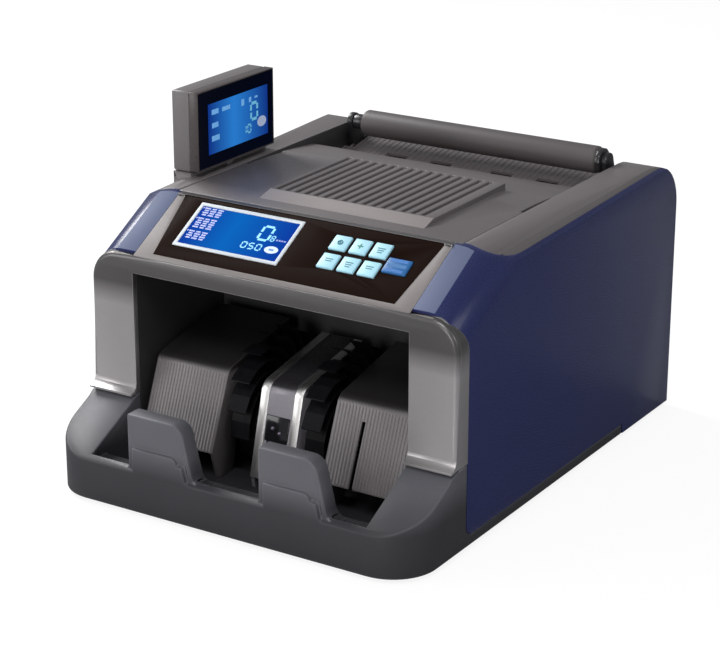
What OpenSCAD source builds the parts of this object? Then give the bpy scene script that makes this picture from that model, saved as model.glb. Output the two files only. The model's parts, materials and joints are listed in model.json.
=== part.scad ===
// Banknote counting machine: hopper at the rear top, stacker pocket at the front,
// sloped control panel, hinged top cover and a swivelling customer display.
//
// Working frame: x across, y back from the front face of the posts, z up from the
// underside of the base. seat() moves it so that the origin is under the middle of
// the machine, on the table.

/* [Body] */
// Width of the body
body_w = 270; // [262:1:290]
// Depth of the body behind the front posts
body_d = 297; // [290:1:320]
// Height of the deck above the underside of the base
body_h = 176; // [174:1:186]
// Wall thickness of the mouldings
wall = 2.5; // [2:0.25:3]
// Radius of the rounded edges along both sides of the deck
edge_r = 47; // [44:1:50]
// Width of deck that each rounded edge takes up
edge_w = 29; // [28:0.5:29]
// Angle by which the deck's outer edges rise to the rear
edge_rise = 1.8; // [0:0.1:2.4]
// Radius of the rear top edge
rear_r = 32; // [26:1:34]
// Height of the base's lip below the side panels
lip_h = 7; // [5:0.5:9]

/* [Front] */
// Length of the pocket tray in front of the posts
tray_d = 52; // [48:1:60]
// Plan radius of the tray's front corners
tray_r = 30; // [20:1:34]
// Width of each post
post_w = 33.2; // [32:0.1:35]
// Height of the underside of the posts
post_z = 55; // [52:1:58]
// Height of the bridge between the opening and the sloped panel
bridge_h = 11.4; // [10:0.2:14]
// Depth of the front frame's rim
frame_t = 4; // [3:0.5:5]
// Depth of the strips that turn back from the frame along both sides
strip_d = 13.5; // [11:0.5:16]
// Rise of the sloped panel up to the deck
slope_h = 28.6; // [27:0.2:30]
// Slope of the control panel, in degrees
slope_a = 29.3; // [28:0.1:30]

/* [Tray] */
// Height of the front wall's rim
rim_z = 27; // [24:1:30]
// Height of the ledge behind the front wall
ledge_z = 25; // [20:1:26]
// Depth of that ledge
ledge_d = 14; // [10:1:18]
// Floor of the pocket
pit_z = 8; // [6:1:10]
// Height of the two upright tabs
tab_z = 64; // [56:1:70]
// Width of a tab at its top
tab_w = 43; // [36:1:46]
// Thickness of a tab
tab_t = 12; // [8:1:14]
// Distance between the tabs
tab_pitch = 98; // [90:1:102]

/* [Control panel] */
// Width of the frame beside the lower corners of the control panel
panel_low_side = 13.3; // [11:0.1:16]
// Width of the frame beside the upper corners of the control panel
panel_top_side = 5.8; // [4:0.1:9]
// Distance up the slope of its lower edge
panel_v0 = 4.5; // [4:0.5:6]
// Distance up the slope of its upper edge
panel_v1 = 57; // [54:0.5:57]
// Thickness of the control panel
panel_t = 1.8; // [1.5:0.1:2]
// Width of the screen with its border
lcd_w = 79; // [70:1:84]
// Height of the screen with its border
lcd_h = 38.6; // [34:0.2:40]
// Width of the screen's white border
lcd_rim = 2.6; // [2:0.1:4]
// Side of a square key
key_s = 12.2; // [10:0.1:13]
// Distance between keys in a row
key_pitch = 14.5; // [13.4:0.1:15.5]
// Width of the blue key
blue_w = 16.8; // [14:0.1:18]
// Travel of a key
key_travel = 1; // [0.6:0.1:1.4]

/* [Top] */
// Width of the deck beside the hopper
rail_w = 29.2; // [28:0.1:31]
// Length of the hopper behind the top cover
hopper_d = 85; // [81:1:91]
// How far the cover's rear edge dips below the deck
cover_dip = 5; // [3:0.5:6]
// Length of the raised plateau on the cover
plateau_l = 102; // [92:1:108]
// Height of the raised plateau
plateau_h = 3.6; // [3:0.2:4.4]
// Number of grooves in the plateau
groove_n = 16; // [10:1:18]
// Distance between grooves
groove_pitch = 7.2; // [6:0.1:7.5]
// Radius of the note rest's bar
bar_r = 9.3; // [8:0.1:10]
// Space between each end of that bar and the hopper's wall
bar_side = 7.3; // [6.3:0.1:10]

/* [Display] */
// Length of the external display
disp_l = 87; // [80:1:92]
// Height of the external display
disp_h = 54; // [48:1:58]
// Thickness of the external display
disp_t = 21; // [18:0.5:22]

/* [Mechanism] */
// Radius of the shafts
shaft_r = 4; // [3:0.25:4.5]
// Radius of the stacker wheels
wheel_r = 44; // [40:1:45]
// Width of a stacker wheel
wheel_w = 14; // [10:1:15]
// Blades on a stacker wheel
blade_n = 14; // [10:1:16]
// Radius of the feed rollers
feed_r = 20; // [18:0.5:20.5]
// Radius of the pickup rollers
pickup_r = 14; // [12:0.5:15]
// Radial clearance of a shaft in its bush
run_gap = 0.05; // [0.03:0.01:0.1]
// Height of the rubber feet
foot_h = 3; // [2:0.5:5]

/* [Hidden] */

$fn = 48;
eps = 0.01;
big = 1000;
below = 20;             // the body's outline is drawn this far below the base
half_w = body_w / 2;
arc_steps = 10;
seam = 0.3;             // gap between neighbouring mouldings
rear_in = 3;            // recess of the rear panel
rear_y = body_d - rear_in - wall;
slip = 0.15;            // gap round a piece that drops into a recess

// Slope of the front: it starts just behind the posts and ends at the deck,
// where the front frame reaches back as a narrow lip.
frame_lip = 2.6;
slope_y = 1;
slope_z = body_h - slope_h;
open_top = slope_z - bridge_h;
open_w = body_w - 2 * post_w;
cap_r = 22;             // rounded edge between the slope and each side
slope_l = (body_h - slope_z) / sin(slope_a);
slope_end = slope_y + slope_l * cos(slope_a);
deck_front = slope_end + frame_lip;

// Hinged cover behind that lip.
cover_gap_front = 1.2;
cover_front = deck_front + cover_gap_front;
cover_t = 3;
cover_gap = 0.4;
hopper_x = half_w - rail_w;
cover_x = hopper_x - cover_gap;
cover_end = body_d - hopper_d;
cover_bend = cover_end - 72;    // where the cover starts to dip
pin_r = 2;
pin_y = cover_front + 14.8;
pin_z = body_h - 5.5;
rail_depth = 11;        // depth of the lip inside each rail
hopper_depth = 26;      // depth of the hopper's side walls
hopper_end = body_d - 9;

// Plateau on the cover.
plateau_y = cover_front + 13;
plateau_x0 = 54.4 - cover_x;
plateau_x1 = cover_x - 34.4;
slot_y = cover_bend - 9;        // finger slot along each side of the cover
slot_l = 42;
slot_w = 2.2;
plateau_rise = 11.5;    // length of the slope at the plateau's front
groove_w = 3.4;
groove_x = 7.5;         // middle of the row of grooves
groove_end = 1.8;
groove_deep = 2.2;

// Note rest.
bar_l = 2 * (hopper_x - bar_side);
bar_y = cover_end + 46;
bar_z = body_h + 2;
arm_y = bar_y + 6;
arm_z = bar_z - 18;
arm_t = 4;
arm_half = 6;
arm_pin_r = 3;

// Chassis plates and shafts.
plate_t = 2;
plate_x = hopper_x + wall + 0.7;
feed_y = cover_end - 12;
feed_z = body_h - 44;
plate_end = rear_y - 7.5;
plate_top = feed_z + 16;
pickup_y = feed_y + 36;
pickup_z = feed_z + 12;
stack_y = 50;
stack_z = 54;
retard_y = feed_y;
retard_gap = 0.7;
retard_r = 6.3;
retard_z = feed_z + feed_r + retard_gap + retard_r;
retard_shaft_r = 2.5;
bush_r = shaft_r + 3;
bush_rim = 2;
rod_r = 3;

// Pulleys outside the chassis plates.
pulley_x = plate_x + plate_t + 3;
pulley_w = 8;
belt_t = 1.6;
belt_gap = 0.3;
motor_pulley_r = 9;
feed_pulley_r = 18;
feed_small_r = 12;
pickup_pulley_r = 10;
stacker_pulley_r = 18;
small_pulley_r = 8;
flange_h = 1.2;
motor_y = feed_y + 40;
motor_z = 60;
motor_r = 21;
motor_l = 60;
smotor_y = 120;
smotor_z = 40;
smotor_r = 17;
smotor_l = 50;
motor_shaft_r = 2.5;

// Pocket between the posts.
liner_x = open_w / 2;
liner_back = 98;
liner_gap = 12;         // note slot above the liner's back wall
guide_gap = 5;          // from a guide's outer end to the liner
guide_in = 41;          // inner end of each guide
face_low = [-3, 27];    // y, z of the foot of a guide's face
face_top = [18, 78];    // y, z where a guide's face turns back
shelf_end = [86, 92];   // y, z of the rear end of a guide's shelf
saddle_low = [2, 16];
saddle_top = [18, 75];
saddle_end = [86, 87];
saddle_x = 15.5;
strip_w = 6;
wheel_in = 21;          // inner face of a stacker wheel
slit_w = 3;             // slit in the right guide
slit_x = 61;

// Hopper plate.
hopper_a = 10.7;
hopper_y = cover_end + 2;
hopper_z = body_h - 23.5;
hopper_l = 70;
roller_w = 14;
roller_xs = [-60, -24, 24, 60];

// Display.
disp_x = 15 - half_w;
disp_y = 127;
disp_gap = 0.5;         // running gap under the display
disp_seat = body_h + 2.5;
disp_front_t = 7;       // thickness of the dark front
neck_r = 6;
neck_l = 8;

// Keys: distance up the slope of the lower edge of each row.
panel_low_w = open_w - 2 * panel_low_side;
panel_top_w = open_w - 2 * panel_top_side;
keys_w = 3 * key_pitch - 0.4 + blue_w;
panel_free = panel_low_w - lcd_w - keys_w;
key_x0 = panel_low_w / 2 - keys_w - 0.11 * panel_free;
lcd_x = 0.21 * panel_free - panel_low_w / 2;
key_v = [20, 35.6];
blue_x = key_x0 + 3 * key_pitch - 0.4;
blue_v = 26;
key_top = 1.3;          // face of the keys above the slope
key_gap = 0.3;
key_play = 0.1;         // rattle of a key between the panel and its switch
flange_t = 0.8;
flange_w = 0.8;
stem_r = 2;
lcd_v = 14.8;
board_w = -7.4;
board_t = 1.6;
board_l = panel_top_w - 8;
panel_face = 0.3;       // face of the control panel above the slope
panel_under = panel_face - panel_t;

inlet = [51 - half_w, 32];      // x, z of the mains inlet
rocker = inlet + [32, 0];       // x, z of the power switch
socket = [half_w - 65, 32];     // x, z of the display socket

function arc(cx, cy, r, a0, a1) =
    [for (i = [0:arc_steps]) [cx + r * cos(a0 + (a1 - a0) * i / arc_steps),
                              cy + r * sin(a0 + (a1 - a0) * i / arc_steps)]];
function slope_at(y, inset) = slope_z + (y - slope_y) * tan(slope_a) - inset / cos(slope_a);
function rear_at(y) = body_h - rear_r + sqrt(pow(rear_r, 2) - pow(y - body_d + rear_r, 2));
function deck_at(inset) =
    slope_y + (body_h - inset - slope_z + inset / cos(slope_a)) / tan(slope_a);

module seat() translate([0, (tray_d - body_d) / 2, foot_h]) children();
module span_x(x0, x1) translate([x0, 0, 0]) rotate([90, 0, 90]) linear_extrude(x1 - x0) children();
module span_y(y0, y1) translate([0, y1, 0]) rotate([90, 0, 0]) linear_extrude(y1 - y0) children();
module on_slope() translate([0, slope_y, slope_z]) rotate([slope_a, 0, 0]) children();
module rod_x(x0, x1, y, z, r) translate([x0, y, z]) rotate([0, 90, 0]) cylinder(h = x1 - x0, r = r);
module box(lo, hi) translate(lo) cube(hi - lo);

// Outer form of the body, or the same form drawn in by inset.
module side_outline(inset) polygon(concat(
    [[inset, 0], [inset, slope_at(inset, inset)], [deck_at(inset), body_h - inset]],
    arc(body_d - rear_r, body_h - rear_r, rear_r - inset, 90, 0),
    [[body_d - inset, 0]]));
module front_outline(inset) {
    edge_a = acos((edge_w - inset) / (edge_r - inset));
    arc_x = half_w - edge_w;
    polygon(concat([[half_w - inset, -below]],
        arc(arc_x, body_h - edge_r, edge_r - inset, edge_a, 90),
        arc(-arc_x, body_h - edge_r, edge_r - inset, 90, 180 - edge_a),
        [[inset - half_w, -below]]));
}
module cap_outline(inset) polygon(concat([[half_w - inset, -body_d]],
    arc(half_w - cap_r, -cap_r, cap_r - inset, 0, 90),
    arc(cap_r - half_w, -cap_r, cap_r - inset, 90, 180),
    [[inset - half_w, -body_d]]));
module cap_form(inset) on_slope() span_y(-body_d, 2 * body_d) cap_outline(inset);
module body_form(inset) intersection() {
    span_x(-half_w, half_w) side_outline(inset);
    translate([0, deck_front, body_h]) rotate([edge_rise, 0, 0]) translate([0, 0, -body_h])
        span_y(-2 * deck_front, body_d) front_outline(inset);
    cap_form(inset);
}
module body_skin() difference() {
    body_form(0);
    body_form(wall);
}

// Side panels ---------------------------------------------------------------

// Height of the deck's outer edge at its front.
edge_z = body_h - edge_r + sqrt(edge_r * edge_r - edge_w * edge_w);
panel_arc = 26;
lip_end = body_d - 71;  // where the side panel drops to the underside

panel_foot = 7;         // rounded lower front corner of the side panel
strip_r = 27.6;         // curve of the strip's edge up to the slope
strip_top = slope_z - 23.4;
// Front edge of the side panel, from its lower corner up to the slope.
function panel_front(gap) = concat(
    arc(strip_d + seam + panel_foot, lip_h + seam + panel_foot, panel_foot + gap, 270, 180),
    arc(strip_d + seam - strip_r, strip_top, strip_r - gap, 0, 48));
module panel_outline() polygon(concat(panel_front(0), [[frame_t + seam, slope_z]],
    [[frame_t + seam, big], [deck_front, big], [deck_front, edge_z]],
    arc(body_d - panel_arc, edge_z - panel_arc, panel_arc, 90, 0),
    [[body_d, 0], [lip_end, 0], [lip_end, lip_h + seam]]));
// Block inside the side panel that takes the rear panel's upper screw.
module screw_block() difference() {
    box([plate_x + plate_t + 1, rear_y - screw_block_l, screw_z[1] - 6],
        [half_w - wall + eps, rear_y - seam, screw_z[1] + 6]);
    screw_hole(screw_x, screw_z[1]);
}
module screw_hole(x, z) translate([x, rear_y - 20, z]) rotate([-90, 0, 0])
    cylinder(h = 30, r = screw_r);

// Rim of the side panel round the deck's edge, and the same drawn out by gap.
module deck_rim(gap) difference() {
    box([hopper_x - gap, deck_front - eps, edge_z - panel_arc], [half_w + gap, body_d + gap, big]);
    cap_form(wall + gap);
}
module side_panel_right() color("darkslateblue") seat() {
    difference() {
        intersection() {
            body_skin();
            union() {
                span_x(liner_x, half_w) panel_outline();
                deck_rim(0);
            }
        }
        box([0, rear_y - wall, -eps], [half_w - wall - seam, body_d + eps, body_h]);
    }
    screw_block();
}
module side_panel_left() color("darkslateblue") mirror([1, 0, 0]) side_panel_right();

// Deck, rails and hopper walls ---------------------------------------------------

module rail_lip(side) {
    x0 = side > 0 ? hopper_x : -hopper_x - wall;
    difference() {
        union() {
            box([x0, cover_front, body_h - rail_depth], [x0 + wall, cover_end, body_h - wall / 2]);
            box([x0, cover_end - eps, body_h - hopper_depth],
                [x0 + wall, bar_y - 20, body_h - wall / 2]);
            span_x(x0, x0 + wall) polygon(concat(
                [[bar_y - 20 - eps, body_h - hopper_depth], [bar_y - 20 - eps, body_h - wall / 2]],
                arc(body_d - rear_r, body_h - rear_r, rear_r - wall / 2, 90, 0.5 + asin(3 / 4)),
                [[hopper_end, body_h - hopper_depth]]));
        }
        rod_x(x0 - 1, x0 + wall + 1, pin_y, pin_z, pin_r + run_gap);
        rod_x(x0 - 1, x0 + wall + 1, arm_y, arm_z, arm_pin_r + run_gap);
    }
}
module display_seat() difference() {
    intersection() {
        box([disp_x - disp_t / 2, disp_y - disp_l / 2, edge_z],
            [disp_x + disp_t / 2 - disp_front_t, disp_y + disp_l / 2, disp_seat]);
        span_y(0, body_d) polygon([[-half_w + 4, edge_z - 1], [-half_w + 4, disp_seat],
            [0, disp_seat], [0, edge_z - 1]]);
    }
    body_form(wall / 2);
}
module top_shell() color("dimgray") seat() difference() {
    union() {
        difference() {
            body_skin();
            span_x(-half_w - 1, half_w + 1) offset_panel();
            box([-half_w - 1, -1, -1], [half_w + 1, deck_front + seam, big]);
            box([-half_w - 1, -1, -1], [half_w + 1, big, body_h - rear_r + wall]);
            box([-hopper_x, 0, 0], [hopper_x, hopper_end, big]);
        }
        rail_lip(1);
        rail_lip(-1);
        box([-hopper_x, hopper_end - wall, body_h - hopper_depth],
            [hopper_x, hopper_end, rear_at(hopper_end) - wall / 2]);
        display_seat();
    }
    deck_rim(seam);
    mirror([1, 0, 0]) deck_rim(seam);
    translate([disp_x, disp_y, disp_seat - neck_l]) cylinder(h = big, r = neck_r + run_gap);
}
// The side panels' outline with the seam round it.
module offset_panel() polygon(concat(
    [[-1, -1], [-1, big], [deck_front, big], [deck_front, edge_z + seam]],
    arc(body_d - panel_arc, edge_z - panel_arc, panel_arc + seam, 90, 0),
    [[body_d + 1, -1]]));

// Front frame ---------------------------------------------------------------------

corner_r = 20;
ledge_w = 2.5;          // ledge that carries the rim of the control panel
post_r = 4.5;           // pads that carry the posts of the keypad board
post_at = [for (s = [-1, 1]) for (p = [[panel_low_w / 2 - 4.5, panel_v0 + 5],
    [panel_top_w / 2 - 8, panel_v1 - 5]]) [s * p[0], p[1]]];
module portal_outline() difference() {
    union() {
        for (s = [-1, 1]) translate([s * (half_w - corner_r), slope_z - corner_r]) circle(corner_r);
        translate([-half_w, post_z]) square([body_w, slope_z - corner_r - post_z]);
        translate([corner_r - half_w, post_z]) square([body_w - 2 * corner_r, slope_z - post_z]);
    }
    translate([-open_w / 2, 0]) square([open_w, open_top]);
}
module panel_shape(grow) polygon([[-panel_low_w / 2 - grow, panel_v0 - grow],
    [panel_low_w / 2 + grow, panel_v0 - grow],
    [panel_top_w / 2 + grow, panel_v1 + grow],
    [-panel_top_w / 2 - grow, panel_v1 + grow]]);
// Strip that turns back along the side, and the flare at the foot of each post.
module frame_strip() {
    intersection() {
        body_skin();
        span_x(liner_x + wall + seam, half_w) difference() {
            translate([frame_t - eps, post_z]) square([strip_d - frame_t + eps, slope_z - post_z]);
            polygon(concat([[big, 0]], panel_front(seam), [[frame_t - eps, big], [big, big]]));
        }
    }
    span_x(liner_x, half_w) polygon([[eps, post_z + 6], [-0.8, post_z + 3.4], [-3.2, post_z + 1.4],
        [-flare_d, post_z + 0.6], [-flare_d, post_z - 0.8], [eps, post_z - 0.8]]);
}
flare_d = 6;
module front_frame() color("gray") seat() difference() {
    union() {
        span_y(0, frame_t) portal_outline();
        for (s = [0, 1]) mirror([s, 0, 0]) frame_strip();
        on_slope() translate([seam - liner_x, 0, -wall])
            cube([2 * (liner_x - seam), slope_l, wall]);
        box([seam - liner_x, slope_end - wall, body_h - wall], [liner_x - seam, deck_front, body_h]);
        for (p = post_at) on_slope() translate([p[0], p[1], board_w])
            cylinder(h = -board_w - wall / 2, r = 2.5);
    }
    on_slope() translate([0, 0, panel_under]) linear_extrude(big) panel_shape(slip);
    on_slope() translate([0, 0, -wall - 1]) linear_extrude(wall + 2) difference() {
        panel_shape(-ledge_w);
        for (p = post_at) translate([p[0], p[1]]) circle(post_r);
    }
}

// Control panel -------------------------------------------------------------------

key_at = concat(
    [for (r = [1, 0]) for (c = [0:2]) [key_x0 + c * key_pitch, key_v[r], key_s]],
    [[blue_x, blue_v, blue_w]]);

module control_panel() color("black") seat() on_slope() translate([0, 0, panel_under])
    linear_extrude(panel_t) difference() {
        panel_shape(0);
        translate([lcd_x - slip, lcd_v - slip]) square([lcd_w + 2 * slip, lcd_h + 2 * slip]);
        for (k = key_at) translate([k[0] - key_gap, k[1] - key_gap])
            square([k[2] + 2 * key_gap, key_s + 2 * key_gap]);
    }
lcd_face = 0.7;
module lcd_frame() color("white") seat() on_slope() translate([lcd_x, lcd_v, lcd_face - 2.6])
    difference() {
        cube([lcd_w, lcd_h, 2.6]);
        translate([lcd_rim, lcd_rim, -1]) cube([lcd_w - 2 * lcd_rim, lcd_h - 2 * lcd_rim, 5]);
    }
module lcd_screen() color("royalblue") seat() on_slope() translate([lcd_x, lcd_v, 0]) {
    base = board_w + board_t;
    translate([0, 0, base]) cube([lcd_w, lcd_h, lcd_face - 2.6 - base]);
    translate([lcd_rim + slip, lcd_rim + slip, lcd_face - 2.6 - eps])
        cube([lcd_w - 2 * (lcd_rim + slip), lcd_h - 2 * (lcd_rim + slip), 2.2]);
}
module keypad_board() color("darkgreen") seat() on_slope() {
    translate([-board_l / 2, panel_v0 + 2, board_w - board_t])
        cube([board_l, panel_v1 - panel_v0 - 4, board_t]);
    translate([lcd_x, lcd_v, board_w - eps]) cube([lcd_w, lcd_h, board_t + eps]);
}
key_foot = panel_under - key_play - flange_t;
// Key with a flange that keeps it under the panel, and a stem down to its switch.
module key(i) {
    k = key_at[i];
    seat() on_slope() translate([k[0], k[1], 0]) {
        translate([0, 0, key_foot]) cube([k[2], key_s, key_top - key_foot]);
        translate([-flange_w, -flange_w, key_foot])
            cube([k[2] + 2 * flange_w, key_s + 2 * flange_w, flange_t]);
        translate([k[2] / 2, key_s / 2, board_w + key_travel + key_play])
            cylinder(h = panel_under - board_w - key_travel - 2 * key_play, r = stem_r);
    }
}
module key_1() color("paleturquoise") key(0);
module key_2() color("paleturquoise") key(1);
module key_3() color("paleturquoise") key(2);
module key_4() color("paleturquoise") key(3);
module key_5() color("paleturquoise") key(4);
module key_6() color("paleturquoise") key(5);
module key_7() color("steelblue") key(6);

// Base and pocket tray ------------------------------------------------------------

module plan_outline() {
    for (s = [-1, 1]) translate([s * (half_w - tray_r), tray_r - tray_d]) circle(tray_r);
    translate([-half_w, tray_r - tray_d]) square([body_w, body_d + tray_d - tray_r]);
    translate([tray_r - half_w, -tray_d]) square([body_w - 2 * tray_r, tray_r + 1]);
}
arm_rise = 0.5;         // rise of the arms towards the posts
arm_y1 = -8;            // where each arm curves up to its post
function arm_at(y) = rim_z + arm_rise * (y + tray_d);
module tray_profile() polygon([[-tray_d, 0], [-tray_d, rim_z], [arm_y1, arm_at(arm_y1)],
    [-4, arm_at(arm_y1) + 3], [-1, post_z - 2], [frame_t, post_z], [frame_t, 0]]);
tab_r = 10;             // rounded upper corner of a tab
tab_lean = 8;           // how much wider a tab is at its foot
tab_sink = 10;          // how far a tab runs down into the ledge
tab_top = tab_z - rim_z + tab_sink;
tab_foot = 8;           // hollow curve from a tab's side into the rim
pad_z = 43;             // height of the thicker lower part of a tab
pad_in = 4.5;           // how far that part stays inside the tab's outline
function tab_side(inset) = concat(
    arc(tab_w - tab_r, tab_top - tab_r, tab_r - inset, 90, 8),
    arc(tab_w + tab_lean + 5, tab_sink + tab_foot, tab_foot + inset, 188, 270));
module tab_outline() polygon(concat([[0, 0], [0, tab_top]], tab_side(0),
    [[tab_w + tab_lean + 5, 0]]));
module pad_outline() intersection() {
    polygon(concat([[pad_in, 0], [pad_in, tab_top - pad_in]], tab_side(pad_in),
        [[tab_w + tab_lean + 5, 0]]));
    union() {
        square([tab_w - pad_in - tab_r / 2, pad_z - rim_z + tab_sink]);
        square([2 * tab_w, pad_z - rim_z + tab_sink - tab_r / 2]);
        translate([tab_w - pad_in - tab_r / 2, pad_z - rim_z + tab_sink - tab_r / 2])
            circle(tab_r / 2);
    }
}
tab_x0 = -71;           // left edge of the left tab
pad_t = 2.5;            // step between a tab and its thicker lower part
front_t = 5;            // thickness of the tray's front wall
guide_y = 24;           // where the pocket's raised floor ends
module base_tray() color("darkslategray") seat() difference() {
    union() {
        linear_extrude(wall) plan_outline();
        difference() {
            intersection() {
                linear_extrude(post_z) plan_outline();
                span_x(-half_w, half_w) tray_profile();
            }
            box([-liner_x, front_t - tray_d, ledge_z], [liner_x, frame_t + 1, big]);
            box([-liner_x, front_t + ledge_d - tray_d, pit_z], [liner_x, frame_t + 1, big]);
        }
        for (i = [0, 1]) translate([tab_x0 + i * tab_pitch, 0, rim_z - tab_sink]) {
            span_y(pad_t - tray_d, pad_t - tray_d + tab_t) tab_outline();
            span_y(-tray_d, pad_t - tray_d + 1) pad_outline();
        }
        // Wings that carry on the frame's side strips down to the lip.
        for (s = [0, 1]) mirror([s, 0, 0]) span_x(half_w - wall, half_w) difference() {
            translate([frame_t - eps, 0])
                square([strip_d - frame_t + panel_foot + eps, post_z - seam]);
            polygon(concat([[big, lip_h]], panel_front(seam), [[strip_d, big], [big, big]]));
        }
        box([-liner_x, frame_t - eps, 0], [liner_x, guide_y, pit_z]);
        difference() {
            linear_extrude(lip_h) plan_outline();
            box([-half_w + wall, frame_t - 1, -1], [half_w - wall, body_d - wall, big]);
            box([-half_w - 1, -tray_d - 1, -1], [half_w + 1, frame_t, big]);
            box([-half_w - 1, lip_end - 1, wall], [half_w + 1, body_d + 1, big]);
        }
        for (s = [-1, 1]) box([s * (plate_x + plate_t / 2) - 4, guide_y, wall - eps],
            [s * (plate_x + plate_t / 2) + 4, plate_end, pit_z]);
        for (x = [-screw_x, screw_x]) box([x - 5, rear_y - screw_block_l, wall - eps],
            [x + 5, rear_y, screw_z[0] + 5]);
    }
    box([-half_w - 1, lip_end - 1, -1], [-half_w + wall + seam, body_d + 1, big]);
    box([half_w - wall - seam, lip_end - 1, -1], [half_w + 1, body_d + 1, big]);
    for (x = [-screw_x, screw_x]) screw_hole(x, screw_z[0]);
}

// Rear panel ------------------------------------------------------------------------

rear_top = body_h - rear_r + wall - seam;
inlet_w = 28;
inlet_h = 20;
rocker_w = 14;
rocker_h = 22;
socket_r = 8;
screw_x = half_w - 15;  // rear panel screws: distance from the middle, and heights
screw_z = [18, body_h - 48];
screw_r = 1.5;
screw_block_l = 12;
screw_head_r = 3.2;
screw_at = [for (x = [-screw_x, screw_x]) for (z = screw_z) [x, z]];
module rear_panel() color("dimgray") seat() difference() {
    box([-half_w + wall + seam, rear_y, wall], [half_w - wall - seam, rear_y + wall, rear_top]);
    for (i = [-5:5]) box([i * 14 - 4, rear_y - 1, 66], [i * 14 + 4, rear_y + wall + 1, 104]);
    box([inlet[0] - inlet_w / 2, rear_y - 1, inlet[1] - inlet_h / 2],
        [inlet[0] + inlet_w / 2, rear_y + wall + 1, inlet[1] + inlet_h / 2]);
    box([rocker[0] - rocker_w / 2 - 1, rear_y - 1, rocker[1] - rocker_h / 2 - 1],
        [rocker[0] + rocker_w / 2 + 1, rear_y + wall + 1, rocker[1] + rocker_h / 2 + 1]);
    translate([socket[0], rear_y - 1, socket[1]]) rotate([-90, 0, 0])
        cylinder(h = wall + 2, r = socket_r + slip);
    for (p = screw_at) translate([p[0], rear_y - 1, p[1]]) rotate([-90, 0, 0])
        cylinder(h = wall + 2, r = screw_r + slip);
}
module housing_screws() color("silver") seat() for (p = screw_at)
    translate([p[0], rear_y - 8, p[1]]) rotate([-90, 0, 0]) {
        cylinder(h = 8 + wall, r = screw_r);
        translate([0, 0, 8 + wall]) cylinder(h = 2, r = screw_head_r);
    }
module mains_inlet() color("black") seat() {
    difference() {
        box([inlet[0] - inlet_w / 2 + slip, rear_y - 22, inlet[1] - inlet_h / 2 + slip],
            [inlet[0] + inlet_w / 2 - slip, rear_y + wall, inlet[1] + inlet_h / 2 - slip]);
        box([inlet[0] - 11.5, rear_y - 16, inlet[1] - 7.5], [inlet[0] + 11.5, body_d, inlet[1] + 7.5]);
    }
    for (x = [-7, 0, 7]) box([inlet[0] + x - 1, rear_y - 17, inlet[1] - 2],
        [inlet[0] + x + 1, rear_y - 2, inlet[1] + 2]);
    difference() {
        box([rocker[0] - rocker_w / 2 - 1, rear_y - 20, rocker[1] - rocker_h / 2 - 1],
            [rocker[0] + rocker_w / 2 + 1, rear_y + wall, rocker[1] + rocker_h / 2 + 1]);
        box([rocker[0] - rocker_w / 2, rear_y - 18, rocker[1] - rocker_h / 2],
            [rocker[0] + rocker_w / 2, body_d, rocker[1] + rocker_h / 2]);
        rod_x(rocker[0] - rocker_w, rocker[0] + rocker_w, rear_y - 6, rocker[1], 1.5 + run_gap);
    }
}
module power_rocker() color("black") seat() {
    intersection() {
        rod_x(rocker[0] - rocker_w / 2 + 0.4, rocker[0] + rocker_w / 2 - 0.4, rear_y - 6, rocker[1], 10.4);
        translate([0, rear_y - 6, rocker[1]]) rotate([9, 0, 0])
            box([-big, -1, -9.6], [big, 9.4, 9.6]);
    }
    rod_x(rocker[0] - rocker_w / 2 - 0.9, rocker[0] + rocker_w / 2 + 0.9, rear_y - 6, rocker[1], 1.5);
}
module display_socket() color("black") seat()
    translate([socket[0], rear_y - 12, socket[1]]) rotate([-90, 0, 0]) difference() {
        cylinder(h = 12 + wall + 1, r = socket_r);
        translate([0, 0, 6]) cylinder(h = 20, r = socket_r - 2);
    }

// Pocket liner, stacker guides and saddle --------------------------------------------

module pocket_liner() color("darkslategray") seat() difference() {
    union() {
        for (s = [0, 1]) mirror([s, 0, 0])
            box([liner_x, frame_t, pit_z + 2], [liner_x + wall, liner_back + wall, open_top]);
        box([-liner_x, liner_back, pit_z + 2], [liner_x, liner_back + wall, open_top - liner_gap]);
        box([-liner_x - wall, frame_t, open_top], [liner_x + wall, liner_back + wall, open_top + wall]);
        for (s = [0, 1]) mirror([s, 0, 0])
            box([liner_x, guide_y + 1, wall], [liner_x + wall, liner_back, pit_z + 2 + eps]);
    }
    rod_x(-big / 2, big / 2, stack_y, stack_z, shaft_r + 2);
}

// Bent strip with the outer line low - top - end and the given thickness.
module bent_strip(low, top, end, t) {
    a = atan2(top[1] - low[1], top[0] - low[0]);
    b = atan2(end[1] - top[1], end[0] - top[0]);
    in_a = [sin(a), -cos(a)] * t;
    in_b = [sin(b), -cos(b)] * t;
    mid = top + [sin((a + b) / 2), -cos((a + b) / 2)] * t / cos((a - b) / 2);
    round_r = 9;
    da = round_r * tan((a - b) / 2);
    p0 = top - [cos(a), sin(a)] * da;
    c = p0 + [sin(a), -cos(a)] * round_r;
    polygon(concat([low], arc(c[0], c[1], round_r, a + 90, b + 90), [end, end + in_b],
        arc(c[0], c[1], round_r - t, b + 90, a + 90), [low + in_a]));
}
module stacker_guide(slit) difference() {
    union() {
        span_x(guide_in, liner_x - guide_gap)
            bent_strip(face_low, face_top, shelf_end, wall);
        for (x = [guide_in, liner_x - guide_gap - wall]) span_x(x, x + wall) guide_cheek();
    }
    if (slit) translate([slit_x, 0, 0]) span_x(0, slit_w) polygon([[face_low[0] - 5, 20],
        [face_low[0] - 5, face_top[1] - 12], [face_top[0] + 4, face_top[1] - 12], [face_low[0] + 8, 20]]);
}
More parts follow.
